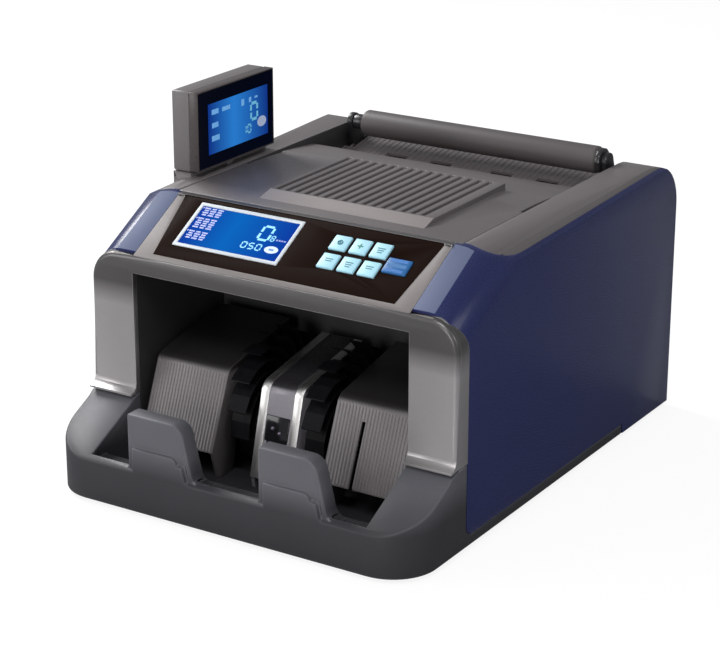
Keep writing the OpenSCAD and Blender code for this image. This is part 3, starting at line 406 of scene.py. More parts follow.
def painted(name, colour, rough=0.34):
    """Silver paint over plastic: fine flakes in a clear layer, with painted shade on the bridge
    and above it, and edges that are part wear, part painted highlight.
    """
    made, tree, shader, where = new_material(name)
    flakes = noise(tree, where, 2600, 1)
    low = painted_light_by_height(tree, where, shade_of(colour, 0.90), *BRIDGE_PAINTED_SHADE)
    high = painted_light_by_height(tree, where, shade_of(colour, 1.10), *BRIDGE_PAINTED_SHADE)
    tint = blend_colours(tree, flakes, low, high)
    # pale edges: part wear, part painted highlight
    tint = blend_colours(tree, edge_wear_and_highlight(tree), tint, shade_of(colour, 1.5))
    tree.links.new(tint, shader.inputs["Base Color"])
    tree.links.new(spread(tree, flakes, rough - 0.04, rough + 0.06), shader.inputs["Roughness"])
    shader.inputs["Metallic"].default_value = 0.7
    grain_bump(tree, shader, flakes, 0.25, 0.00003)
    return made


def rubber(name, colour, rough=0.75, shine=0.5):
    """Dull rubber with coarse mottling."""
    made, tree, shader, where = new_material(name)
    spots = noise(tree, where, 320, 4)
    tint = blend_colours(tree, spots, shade_of(colour, 0.7), shade_of(colour, 1.35))
    tree.links.new(tint, shader.inputs["Base Color"])
    tree.links.new(spread(tree, spots, rough - 0.1, rough + 0.1), shader.inputs["Roughness"])
    grain_bump(tree, shader, spots, 0.6, 0.0001)
    shader.inputs["Specular IOR Level"].default_value = shine
    return made


print("metal, paint and rubber ready")

# %% [markdown]
# Now the finishes themselves, one for each material of the construction model. Colours are
# linear values, judged from how such a machine looks in plain light: a dark slate base, a
# silver frame, navy sides, a warm grey deck and a black panel. The base carries painted light:
# it is painted dark at its foot and paler above, where its tabs catch the light, and its edges
# get a strong painted highlight.

# %% Finishes of the mouldings
FINISH = {
    # painted light: the base is paler with height, and its edges carry a strong painted
    # highlight
    "base_plastic": plastic(
        "base_slate",
        (0.031, 0.031, 0.035),
        rough=0.46,
        wear_and_highlight=6.5,
        shine=0.28,
        height_painted_light=(0.030, 0.048, 2.8),
        edge=1.5,
    ),
    "frame_silver": painted("frame_silver", (0.38, 0.363, 0.363), rough=0.34),
    "panel_blue": plastic(
        "side_navy",
        (0.0155, 0.0205, 0.082),
        rough=0.27,
        depth=0.00002,
        wear_and_highlight=2.2,
        shine=0.30,
    ),
    "deck_grey": plastic(
        "deck_grey", (0.115, 0.103, 0.106), rough=0.42, depth=0.00008, wear_and_highlight=1.9
    ),
    "panel_black": plastic(
        "panel_black",
        (0.010, 0.0045, 0.003),
        rough=0.45,
        depth=0.000004,
        wear_and_highlight=1,
        shine=0.008,
    ),
    "trim_white": plastic(
        "screen_white", (0.54, 0.58, 0.62), rough=0.45, drift=0.02, wear_and_highlight=1, shine=0.2
    ),
    "key_pale": plastic("key_pale", (0.35, 0.63, 0.74), rough=0.42, drift=0.04, wear_and_highlight=1.25),
    "key_blue": plastic(
        "key_blue", (0.024, 0.115, 0.30), rough=0.34, drift=0.05, wear_and_highlight=1.9, shine=0.25
    ),
    "liner_dark": plastic("liner_dark", (0.030, 0.029, 0.031), rough=0.5, wear_and_highlight=1.6),
    "window_black": plastic(
        "window_black", (0.008, 0.008, 0.010), rough=0.12, depth=0.00001, wear_and_highlight=1
    ),
    "pulley_plastic": plastic("pulley_acetal", (0.72, 0.72, 0.69), rough=0.5, wear_and_highlight=1),
    "socket_black": plastic("fitting_black", (0.014, 0.014, 0.016), rough=0.35, wear_and_highlight=2),
    "display_shell": plastic("display_shell", (0.125, 0.114, 0.115), rough=0.38, wear_and_highlight=1.9),
    "display_front": plastic(
        "display_front", (0.0015, 0.0035, 0.014), rough=0.25, wear_and_highlight=2, shine=0.03
    ),
    "circuit_board": plastic(
        "board_green", (0.02, 0.14, 0.05), rough=0.4, drift=0.25, grain=600
    ),
}
print(len(FINISH), "finishes of mouldings")

# %% [markdown]
# Shafts and motor cans are drawn or turned, so their marks run round or along them.
# The plates inside are zinc-plated sheet with a mottled look. The drive parts that
# grip paper are rubber.

# %% Finishes of metal and rubber
FINISH.update(
    {
        "chrome_trim": metal(
            "strip_chrome", (0.86, 0.84, 0.82), rough=0.34, stretch=(60, 1, 1)
        ),
        "plate_steel": metal(
            "zinc_plate", (0.50, 0.51, 0.53), rough=0.38, stretch=(1, 1, 1), scale=90
        ),
        "shaft_steel": metal(
            "shaft_steel", (0.60, 0.60, 0.62), rough=0.25, stretch=(60, 1, 1)
        ),
        "bush_brass": metal("bush_bronze", (0.62, 0.45, 0.20), rough=0.4),
        "motor_steel": metal("motor_can", (0.42, 0.43, 0.45), rough=0.35, stretch=(50, 1, 1)),
        "roller_rubber": rubber("roller_brown", (0.17, 0.075, 0.035)),
        "wheel_black": rubber("blade_black", (0.004, 0.004, 0.005), rough=0.45, shine=0.10),
        "belt_rubber": rubber("belt_black", (0.018, 0.018, 0.018)),
        "foot_rubber": rubber("foot_black", (0.020, 0.020, 0.021)),
    }
)
print(len(FINISH), "finishes with metal and rubber")

# %% [markdown]
# The rest are second finishes, for single faces or for small pieces that the construction model
# leaves out: the slopes with painted light, the lip of the cover with a painted highlight, the
# bar, the lenses and the printed signs. The guides and the saddle carry painted shade: they are
# painted dark behind their bend.

# %% Finishes of single faces and signs
FINISH.update(
    {
        # painted shade: dark above the bend, where the guide lies in shade
        "guide_grey": plastic(
            "guide_grey",
            (0.125, 0.114, 0.116),
            rough=0.36,
            depth=0.00004,
            wear_and_highlight=2.2,
            height_painted_light=(0.0775, 0.0800, 0.13),
        ),
        # painted shade: dark behind the bend
        "saddle_grey": plastic(
            "saddle_grey",
            (0.22, 0.205, 0.23),
            rough=0.3,
            wear_and_highlight=1.6,
            height_painted_light=(0.075, 0.0765, 0.10),
        ),
        # painted reflection: a paler lavender copy of the navy for the caps' slope
        "cap_painted_sheen": plastic(
            "cap_painted_sheen",
            (0.105, 0.125, 0.205),
            rough=0.55,
            depth=0.00002,
            wear_and_highlight=1.2,
            shine=0.12,
        ),
        # painted light: a matt grey copy of the silver for the rim round the panel, in place of
        # its lamp reflection
        "rim_painted_light": plastic(
            "rim_painted_light", (0.185, 0.168, 0.164), rough=0.50, wear_and_highlight=1.7, shine=0.2
        ),
        # painted highlight on the ramp of the cover
        "cover_painted_highlight": plastic(
            "cover_painted_highlight", (0.24, 0.215, 0.213), rough=0.38, depth=0.00001, wear_and_highlight=1.5
        ),
        "bar_grey": plastic(
            "bar_grey", (0.085, 0.075, 0.076), rough=0.50, wear_and_highlight=1.9, shine=0.35
        ),
        "floor_grey": plastic("floor_grey", (0.115, 0.100, 0.103), rough=0.45, wear_and_highlight=1.2),
        "cap_dark": plastic("cap_dark", (0.020, 0.018, 0.020), rough=0.28, wear_and_highlight=2.0),
        "lamp_clear": plastic(
            "lens_smoke", (0.10, 0.08, 0.12), rough=0.08, wear_and_highlight=1, shine=1.0
        ),
        "display_rim": plastic("display_rim", (0.050, 0.040, 0.040), rough=0.32, wear_and_highlight=1.5),
        "sign_teal": plastic("sign_teal", (0.035, 0.17, 0.22), rough=0.4, wear_and_highlight=1),
        "sign_green": plastic("sign_green", (0.04, 0.22, 0.17), rough=0.4, wear_and_highlight=1),
        "sign_deep": plastic("sign_deep", (0.025, 0.14, 0.42), rough=0.35, wear_and_highlight=1),
        "sign_light": plastic(
            "sign_light", (0.06, 0.17, 0.38), rough=0.35, wear_and_highlight=1, shine=0.2
        ),
    }
)
print(len(FINISH), "finishes in all")

# %% [markdown]
# The lit screen is deep blue at its ends and brighter in the middle, as a liquid
# crystal with lamps behind it is. An image could show that too, but a ramp of colours
# along the screen's own length is enough. A screen hardly mirrors anything, or the
# lamps would wash out its colour.

# %% Lit screens
SCREEN_EVEN = 0.06
SCREEN_PEAK = 0.42


def lit_screen(name, start, end, dark, bright, glow=1.0):
    """A glowing panel whose colour runs from dark to bright and back along start-end."""
    made, tree, shader, where = new_material(name)
    along = Vector(end) - Vector(start)
    turn = tree.nodes.new("ShaderNodeVectorMath")
    turn.operation = "DOT_PRODUCT"
    turn.inputs[1].default_value = along / along.length_squared
    tree.links.new(where, turn.inputs[0])
    place = tree.nodes.new("ShaderNodeMath")
    place.operation = "SUBTRACT"
    place.inputs[1].default_value = Vector(start).dot(along) / along.length_squared
    tree.links.new(turn.outputs["Value"], place.inputs[0])
    ramp = tree.nodes.new("ShaderNodeValToRGB")
    steps = ramp.color_ramp.elements
    steps[0].position, steps[0].color = 0.0, (*dark, 1)
    steps[1].position, steps[1].color = SCREEN_PEAK, (*bright, 1)
    last = steps.new(1.0)
    last.color = (*dark, 1)
    tree.links.new(place.outputs[0], ramp.inputs["Fac"])
    tint = blend_colours(tree, SCREEN_EVEN, ramp.outputs["Color"], shade_of(bright, 0.9))
    tree.links.new(tint, shader.inputs["Emission Color"])
    shader.inputs["Emission Strength"].default_value = glow
    shader.inputs["Base Color"].default_value = (*shade_of(dark, 0.4), 1)
    shader.inputs["Specular IOR Level"].default_value = 0.004
    shader.inputs["Roughness"].default_value = 0.12
    return made


FINISH["screen_blue"] = lit_screen(
    "screen_blue",
    on_slope(-80, 30),
    on_slope(-1, 30),
    dark=(0.003, 0.024, 0.24),
    bright=(0.002, 0.135, 0.43),
    glow=0.92,
)
FINISH["window_blue"] = lit_screen(
    "window_blue",
    at(-109, 95.5, 206),
    at(-109, 163.5, 206),
    dark=(0.004, 0.02, 0.18),
    bright=(0.022, 0.20, 0.60),
    glow=0.95,
)
print(len(FINISH), "finishes with the lit screens")

# %% [markdown]
# The signs on a lit screen are clear parts of the crystal, so the lamp behind it
# shines through them. They could be part of the screen's own material, but small
# plates with a glow of their own stay sharp from close by.


# %% Glowing signs
def glowing(name, colour, strength=0.9):
    """A sign that the screen lights from behind."""
    made, tree, shader, where = new_material(name)
    fine = noise(tree, where, 700, 1)
    tint = blend_colours(tree, fine, shade_of(colour, 0.92), shade_of(colour, 1.05))
    tree.links.new(tint, shader.inputs["Base Color"])
    tree.links.new(tint, shader.inputs["Emission Color"])
    shader.inputs["Emission Strength"].default_value = strength
    shader.inputs["Roughness"].default_value = 0.3
    return made


FINISH["glow_lilac"] = glowing("glow_lilac", (0.20, 0.24, 0.52), 0.25)
FINISH["glow_cyan"] = glowing("glow_cyan", (0.15, 0.46, 0.66), 0.5)
FINISH["glow_sky"] = glowing("glow_sky", (0.16, 0.42, 0.80), 0.4)
FINISH["glow_white"] = glowing("glow_white", (0.44, 0.52, 0.72), 0.3)
print(len(FINISH), "finishes with the glowing signs")

# %% [markdown]
# The record of the construction model says what each piece is made of. We could dress
# the pieces one by one as we come to them, but one loop also reaches the shafts, belts
# and motors inside, which nobody will rework.

# %% Finish every construction piece
SLOT_OF = {part["node"]: part["material_slot"] for part in frame["record"]["subparts"]}
for name, node in frame["nodes"].items():
    node.data.materials.clear()
    node.data.materials.append(FINISH[SLOT_OF[name]])
print(len(SLOT_OF), "construction pieces finished")

# %% [markdown]
# ## Habits of the workbench
# Every piece is worked on the same way: pick it, change it, and put its place into
# its mesh, so that the finished piece sits at the machine's own origin. Most
# mouldings start as a copy of the construction piece. Its flat faces are joined up
# first, and then the edges are rounded, because a sharp edge never catches the light.


# %% Pick and settle
def pick_nothing():
    """Deselects everything, so an operator touches only what is picked next."""
    bpy.ops.object.select_all(action="DESELECT")


def pick(*things):
    """Selects these pieces alone. The first one is the active one."""
    pick_nothing()
    for thing in things:
        thing.select_set(True)
    bpy.context.view_layer.objects.active = things[0]


def settle(thing):
    """Puts the piece's place, turn and size into its mesh."""
    pick(thing)
    bpy.ops.object.transform_apply(location=True, rotation=True, scale=True)


print("picking and settling ready")

# %% [markdown]
# Edges are rounded with a Bevel modifier, which is applied at once. Rounding by hand
# would mean picking hundreds of edges, while the modifier finds them by their angle.


# %% Soften the edges
def smooth(thing, angle=35):
    """Smooth shading, except over edges that bend more than angle."""
    pick(thing)
    bpy.ops.object.shade_smooth_by_angle(angle=math.radians(angle))


def soften(thing, width, steps=2, angle=30, careful=False):
    """Rounds every edge that bends more than angle by width millimetres.

    Careful rounding stops where two roundings would run into each other.
    """
    pick(thing)
    bpy.ops.object.modifier_add(type="BEVEL")
    edge = thing.modifiers[-1]
    edge.width = width * MM
    edge.segments = steps
    edge.limit_method = "ANGLE"
    edge.angle_limit = math.radians(angle)
    edge.use_clamp_overlap = careful
    bpy.ops.object.modifier_apply(modifier=edge.name)
    smooth(thing)


def dress(thing, *finishes):
    """Takes off all finishes and puts on these."""
    thing.data.materials.clear()
    for finish in finishes:
        thing.data.materials.append(FINISH[finish])


def join(name, things):
    """Makes one piece of several, under a new name."""
    pick(*things)
    if len(things) > 1:
        bpy.ops.object.join()
    made = bpy.context.object
    made.name = name
    return made


print("softening, dressing and joining ready")

# %% [markdown]
# A copy of a construction piece is loose triangles at first. They are merged, and flat
# faces become one face each, or the Bevel modifier would find no clean edges. The copy
# then stands in for its original and moves with the same body of the machine.

# %% Copies of construction pieces
BODIES = frame["record"]["behaviour"]["bodies"]
BODY_OF = {node: body for body, nodes in BODIES.items() for node in nodes}
SAME_SPOT = 0.000002
SAME_PLANE = math.radians(0.5)


def copy_of(node):
    """A piece of its own with the construction piece's form, its flat faces joined up."""
    pick(frame["nodes"][node])
    bpy.ops.object.duplicate()
    made = bpy.context.object
    bpy.ops.object.parent_clear(type="CLEAR_KEEP_TRANSFORM")
    made.name = node + "_dressed"
    del made["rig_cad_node"]
    settle(made)
    bpy.ops.object.mode_set(mode="EDIT")
    bpy.ops.mesh.select_all(action="SELECT")
    bpy.ops.mesh.remove_doubles(threshold=SAME_SPOT)
    bpy.ops.mesh.dissolve_limited(angle_limit=SAME_PLANE)
    bpy.ops.mesh.normals_make_consistent(inside=False)
    bpy.ops.object.mode_set(mode="OBJECT")
    return made


def stand_in(thing, *nodes):
    """The piece moves with its nodes' body and is shown in their place."""
    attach(thing, BODY_OF[nodes[0]])
    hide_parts(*nodes)


def moulding(node, width, steps=2, careful=False):
    """Rounds a copy of a construction piece and shows it in its place."""
    made = copy_of(node)
    soften(made, width, steps, careful=careful)
    stand_in(made, node)


# %% [markdown]
# ## The outer mouldings
# Base, sides, deck and cover keep the construction's form. Only the width of the
# rounding differs: the base is a thick moulding with generous edges, the cover and
# the panel are thin and crisp. The side panels have narrow ledges, so they are rounded
# with care.

# %% Outer mouldings
EDGE = {
    "base_tray": 0.9,
    "side_panel_left": 0.4,
    "side_panel_right": 0.4,
    "top_shell": 0.4,
    "rear_panel": 0.4,
    "top_cover": 0.4,
    "control_panel": 0.15,
    "lcd_frame": 0.5,
    "stacker_saddle": 0.5,
    "note_rest_arms": 0.6,
    "rubber_feet": 0.6,
    "mains_inlet": 0.3,
    "power_rocker": 0.4,
}
for node, width in EDGE.items():
    moulding(node, width, careful=node.startswith("side"))
# the saddle's finish carries painted shade behind its bend
dress(bpy.data.objects["stacker_saddle_dressed"], "saddle_grey")
print(len(EDGE), "mouldings softened")

# %% [markdown]
# The caps beside the panel lie on the same slope as the panel. Their flat part gets a paler
# lavender copy of the navy with a duller polish, a painted reflection of the lamp above, while
# the round beside it stays glossy. Faces are told apart by where they look.

# %% Painted light on the slopes
SLOPE_OUT = Vector((0, -math.sin(SLOPE_A), math.cos(SLOPE_A)))


def slope_painted_light(thing, finish):
    """Gives the faces that lie on the panel's slope a second finish with painted light."""
    thing.data.materials.append(FINISH[finish])
    found = [face for face in thing.data.polygons if face.normal.dot(SLOPE_OUT) > 0.995]
    for face in found:
        face.material_index = 1
    print(thing.name, len(found), "faces on the slope")


for side in ("left", "right"):
    slope_painted_light(bpy.data.objects[f"side_panel_{side}_dressed"], "cap_painted_sheen")

# %% [markdown]
# The raised field of the cover begins with a ramp. It gets a glossier and paler copy of the
# grey, a painted highlight, so it stands out as a bright band above the panel.

# %% Ramp of the cover
COVER_TOP = at(0, 0, BODY_H + 0.05).z
RAMP_TILT = (0.25, 0.36)
UPWARD = 0.9
cover = bpy.data.objects["top_cover_dressed"]
cover.data.materials.append(FINISH["cover_painted_highlight"])
pale = 0
for face in cover.data.polygons:
    leans = RAMP_TILT[0] < -face.normal.y < RAMP_TILT[1] and face.normal.z > UPWARD
    if face.center.z > COVER_TOP and leans:
        face.material_index = 1
        pale += 1
print(pale, "faces of the ramp")

# %% [markdown]
# The walls of the hopper stand in deep shade, so the deck gets a black second finish, a painted
# shade, on the faces that look inwards between its rails. A dark sheet of its own would have to
# be fitted round every corner, and it would look the same.

# %% Painted shade on the hopper walls
HOPPER_X = 105.8
WALL_NEAR = 0.6
WALL_LOW = 0.1
deck = bpy.data.objects["top_shell_dressed"]
# painted shade: the inward walls get the black finish
deck.data.materials.append(FINISH["liner_dark"])
shaded_walls = 0
for face in deck.data.polygons:
    across = face.center.x / MM
    on_wall = abs(abs(across) - HOPPER_X) < WALL_NEAR and face.center.z > WALL_LOW
    looks_in = -face.normal.x * across > 0.5 * HOPPER_X
    if on_wall and looks_in:
        face.material_index = 1
        shaded_walls += 1
print(shaded_walls, "faces of the hopper's walls")

# %% [markdown]
# The silver frame has a broader round on the corner between its face and its sides.
# In a window we would click on those edges one by one. A script has to tell them by
# their place: on the front plane, about 115 mm or more from the middle.


# %% Pick edges by their place
def pick_edges(thing, chosen):
    """Leaves the piece in edit mode with only the chosen edges picked."""
    pick(thing)
    bpy.ops.object.mode_set(mode="EDIT")
    bpy.ops.mesh.select_mode(type="EDGE")
    bpy.ops.mesh.select_all(action="DESELECT")
    bpy.ops.object.mode_set(mode="OBJECT")
    spots = [v.co for v in thing.data.vertices]
    for edge in thing.data.edges:
        edge.select = chosen(spots[edge.vertices[0]], spots[edge.vertices[1]])
    bpy.ops.object.mode_set(mode="EDIT")


FRAME_FRONT = at(0, 0, 0).y
FRAME_LOW = at(0, 0, 52).z
CONTOUR_X = (114.9 * MM, 115.2 * MM)
NEAR = 0.0001


def on_outer_contour(a, b):
    """Tells whether the edge from a to b is part of the frame's outer front edge."""
    flat = abs(a.y - FRAME_FRONT) < NEAR and abs(b.y - FRAME_FRONT) < NEAR
    nearer, farther = sorted((abs(a.x), abs(b.x)))
    outside = nearer > CONTOUR_X[0] and farther > CONTOUR_X[1]
    return flat and outside and min(a.z, b.z) > FRAME_LOW


print("frame front at", round(FRAME_FRONT, 4))

# %% [markdown]
# The frame is rounded twice: first the picked contour with a bevel of five steps, then every
# other edge with the modifier. Its sloped part, the rim round the control panel, gets a matt
# grey copy of the silver with painted light.

# %% Front frame
FRAME_ROUND = 3.2
front = copy_of("front_frame")
pick_edges(front, on_outer_contour)
bpy.ops.mesh.bevel(offset=FRAME_ROUND * MM, segments=5)
bpy.ops.object.mode_set(mode="OBJECT")
soften(front, 0.35, careful=True)
slope_painted_light(front, "rim_painted_light")
stand_in(front, "front_frame")
print("front frame", len(front.data.polygons), "faces")

# %% [markdown]
# ## Stacker guides
# The two guides carry fine upright ribs that keep the notes from clinging. One rib is
# a thin strip along the face that fades out under the bend. It could be an extruded
# edge of the guide, but a strip that is drawn once and repeated by an array is easier
# to keep even. First come the tools for drawing it.

# %% Trace an outline and pull it out
def trace(name, points):
    """Draws a closed outline point by point and fills it."""
    pick_nothing()
    bpy.ops.mesh.primitive_plane_add(size=MM, location=points[0])
    made = bpy.context.object
    made.name = name
    settle(made)
    bpy.ops.object.mode_set(mode="EDIT")
    bpy.ops.mesh.select_mode(type="VERT")
    bpy.ops.mesh.select_all(action="SELECT")
    bpy.ops.mesh.merge(type="CENTER")
    for start, end in zip(points, points[1:]):
        bpy.ops.mesh.extrude_vertices_move(TRANSFORM_OT_translate={"value": end - start})
    bpy.ops.mesh.select_all(action="SELECT")
    bpy.ops.mesh.edge_face_add()
    bpy.ops.object.mode_set(mode="OBJECT")
    return made


def pull(thing, way):
    """Pulls the flat outline out into a solid."""
    pick(thing)
    bpy.ops.object.mode_set(mode="EDIT")
    bpy.ops.mesh.select_all(action="SELECT")
    bpy.ops.mesh.extrude_region_move(TRANSFORM_OT_translate={"value": way})
    bpy.ops.mesh.select_all(action="SELECT")
    bpy.ops.mesh.normals_make_consistent(inside=False)
    bpy.ops.object.mode_set(mode="OBJECT")


print("tracing tools ready")

# %% [markdown]
# A rib that crosses a slit or a well is interrupted there. A block of the opening's
# size is taken away from the whole row at once, which leaves cleaner ends than a
# shorter array on each side would.


# %% Repeat and cut
def repeat(thing, count, step):
    """Makes a row of count copies, each step further than the last."""
    pick(thing)
    bpy.ops.object.modifier_add(type="ARRAY")
    row = thing.modifiers[-1]
    row.count = count
    row.use_relative_offset = False
    row.use_constant_offset = True
    row.constant_offset_displace = step
    bpy.ops.object.modifier_apply(modifier=row.name)


def block(centre, size, turn=(0, 0, 0)):
    """A plain block round centre, its size in millimetres."""
    pick_nothing()
    bpy.ops.mesh.primitive_cube_add(size=1, location=centre, rotation=turn)
    made = bpy.context.object
    made.scale = (size[0] * MM, size[1] * MM, size[2] * MM)
    settle(made)
    return made


def cut(thing, tool):
    """Takes the tool's form out of the piece and throws the tool away."""
    pick(thing)
    bpy.ops.object.modifier_add(type="BOOLEAN")
    knife = thing.modifiers[-1]
    knife.operation = "DIFFERENCE"
    knife.object = tool
    bpy.ops.object.modifier_apply(modifier=knife.name)
    pick(tool)
    bpy.ops.object.delete()


print("repeating and cutting ready")

# %% [markdown]
# The ribs stand on the guide's sloping face. The right-hand guide has a slit, so its
# ribs are cut there too. Both guides are joined with their ribs, because they are
# one moulding.

# %% Ribs of the guides
FACE_LOW = Vector((-3.0, 27.0))
FACE_TOP = Vector((18.0, 78.0))
RIB_W = 1.3
RIB_PITCH = 2.35
RIB_H = 0.55
RIB_COUNT = 23
RIB_GAP_LOW = 1.0
RIB_GAP_TOP = 5.0
RIB_FADE = 3
RIB_FIRST = 42.6
SLIT_MID = (62.5, 2, 44)
SLIT_SIZE = (3.0, 60, 45)


def guide_ribs(name, side):
    """A row of thin ribs that stand proud of a guide's face and fade out under its bend."""
    along = (FACE_TOP - FACE_LOW).normalized()
    out = Vector((-along.y, along.x)) * RIB_H
    low = FACE_LOW + along * RIB_GAP_LOW
    high = FACE_TOP - along * RIB_GAP_TOP
    outline = [low - out, low + out, high + out * 0.8, high + along * RIB_FADE - out]
    rib = trace(name, [at(side * RIB_FIRST, p.x, p.y) for p in outline])
    pull(rib, Vector((side * RIB_W * MM, 0, 0)))
    repeat(rib, RIB_COUNT, (side * RIB_PITCH * MM, 0, 0))
    soften(rib, 0.25, 1)
    return rib


left_ribs = guide_ribs("left_ribs", -1)
right_ribs = guide_ribs("right_ribs", 1)
cut(right_ribs, block(at(*SLIT_MID), SLIT_SIZE))
for node, ribs in (("stacker_guide_left", left_ribs), ("stacker_guide_right", right_ribs)):
    guide = copy_of(node)
    soften(guide, 0.5)
    dress(ribs, "guide_grey")
    dress(guide, "guide_grey")
    guide = join(node + "_dressed", [guide, ribs])
    stand_in(guide, node)
    print(node, len(guide.data.polygons), "faces")

# %% [markdown]
# The middle of the pocket is the saddle with two bright strips along its edges, and a
# smoked window with an infrared lamp and its receiver behind. The copy of the window is
# enlarged and moved up a little, because its bezel shows too, and two small spheres
# stand for the lenses.

# %% Bright strips and sensor window
SENSOR_MID = at(0, 8.4, 44)
SENSOR_GROW = (1.25, 1.0, 1.2)
SENSOR_SHIFT = (0, 1.1 * MM, 4 * MM)
LENS_R = 1.3
moulding("saddle_strips", 0.25)
window = copy_of("sensor_window")
pick(window)
bpy.ops.object.mode_set(mode="EDIT")
bpy.ops.mesh.select_all(action="SELECT")
bpy.ops.transform.resize(value=SENSOR_GROW, center_override=SENSOR_MID)
bpy.ops.transform.translate(value=SENSOR_SHIFT)
bpy.ops.object.mode_set(mode="OBJECT")
soften(window, 0.4)
dots = []
for shift in (-2.6, 2.4):
    bpy.ops.mesh.primitive_uv_sphere_add(
        segments=20,
        ring_count=12,
        radius=LENS_R * MM,
        location=at(shift, 9.5, 47.5 - 0.5 * shift),
    )
    dot = bpy.context.object
    settle(dot)
    bpy.ops.object.shade_smooth()
    dress(dot, "lamp_clear")
    dots.append(dot)
window = join("sensor_window_dressed", [window] + dots)
stand_in(window, "sensor_window")
print("window with", len(dots), "lenses")

# %% [markdown]
# ## Hopper
# The hopper's sloped floor is ribbed from front to back, so the notes slide down to
# the rollers. The ribs stop at the four wells that the rollers reach through. They are
# made as the guides' ribs are.

# %% Ribbed hopper floor
HOPPER_A = math.radians(10.7)
HOPPER_Y = 214.0
HOPPER_Z = 152.5
FLOOR_RIBS = 47
FLOOR_PITCH = 4.36
FLOOR_RIB_W = 1.6
FLOOR_RIB_SIDE = ((1, -0.4), (2, 0.25), (68, 0.25), (69, -0.4))
FLOOR_FIRST = -101
WELL_X = (-60, -24, 24, 60)
WELL_SIZE = (17.4, 35, 40)


def on_floor(x, along, up):
    """A point x across and along the hopper's floor, up above it."""
    return at(
        x,
        HOPPER_Y + along * math.cos(HOPPER_A) - up * math.sin(HOPPER_A),
        HOPPER_Z + along * math.sin(HOPPER_A) + up * math.cos(HOPPER_A),
    )


floor_rib = trace("floor_rib", [on_floor(FLOOR_FIRST, *point) for point in FLOOR_RIB_SIDE])
pull(floor_rib, Vector((FLOOR_RIB_W * MM, 0, 0)))
repeat(floor_rib, FLOOR_RIBS, (FLOOR_PITCH * MM, 0, 0))
for x in WELL_X:
    cut(floor_rib, block(at(x, 237, 160), WELL_SIZE))
soften(floor_rib, 0.15, 1)
hopper_floor = copy_of("hopper_plate")
soften(hopper_floor, 0.4)
dress(floor_rib, "floor_grey")
dress(hopper_floor, "floor_grey")
hopper_floor = join("hopper_plate_dressed", [hopper_floor, floor_rib])
stand_in(hopper_floor, "hopper_plate")
print("hopper floor", len(hopper_floor.data.polygons), "faces")

# %% [markdown]
# The bar at the rear of the hopper is a tube with rounded shoulders. Its left end sits
# on a dark journal, and a dark cap with flats closes the right end. All three could be
# one lathed profile, but the cap isn't round, so each is a rod of its own.

# %% Note rest
BAR_Y = 258.0
BAR_Z = 178.0
BAR_R = 9.3
BAR_HALF = 98.5
BAR_LEFT = -90.0
CAP_L = 3.2
CAP_STEP = 0.6
JOURNAL_R = 5.5


def rod_between(start, end, radius, sides):
    """A round rod across the machine, from start to end."""
    pick_nothing()
    bpy.ops.mesh.primitive_cylinder_add(
        vertices=sides,
        radius=radius * MM,
        depth=(end - start) * MM,
        location=at((start + end) / 2, BAR_Y, BAR_Z),
        rotation=(0, math.pi / 2, 0),
    )
    made = bpy.context.object
    settle(made)
    return made


bar = rod_between(BAR_LEFT, BAR_HALF - CAP_L, BAR_R, 64)
soften(bar, 2.6, 5, 60)
dress(bar, "bar_grey")
parts = [bar]
for start, end, radius in (
    (-BAR_HALF, BAR_LEFT + 1, JOURNAL_R),
    (BAR_HALF - CAP_L - CAP_STEP, BAR_HALF, BAR_R - CAP_STEP),
):
    cap = rod_between(start, end, radius, 12)
    soften(cap, 0.9, 2, 20)
    dress(cap, "cap_dark")
    parts.append(cap)
note_bar = join("note_rest_dressed", parts)
stand_in(note_bar, "note_rest")
print("note rest", len(note_bar.data.polygons), "faces")

# %% [markdown]
# ## Keys
# Each key is a soft-edged cap with a small printed sign: a ring, a cross or bars. The
# print could be an image, but thin raised plates stay crisp from close by and need no
# unwrapping.

# %% Small plates on the slope
SLOPE_TURN = (SLOPE_A, 0, 0)
SIGN_T = 0.12


def plate(centre, size, finish, turn=SLOPE_TURN):
    """A thin plate: size is across, up and thick, in millimetres."""
    made = block(centre, size, turn)
    dress(made, finish)
    return made


def ring(centre, radius, thick, finish):
    """A round ring that lies on the slope."""
    pick_nothing()
    bpy.ops.mesh.primitive_torus_add(
        location=centre,
        rotation=SLOPE_TURN,
        major_radius=radius * MM,
        minor_radius=thick * MM,
        major_segments=40,
        minor_segments=8,
    )
    made = bpy.context.object
    settle(made)
    bpy.ops.object.shade_smooth()
    dress(made, finish)
    return made


print("plates and rings ready")

# %% [markdown]
# Six pale keys stand in two rows, and a wider blue one beside them. They are made in
# one loop, and only the signs differ from key to key. A real cap is one
# moulding with its print, so the signs are joined with it and sink with it when it is
# pressed.

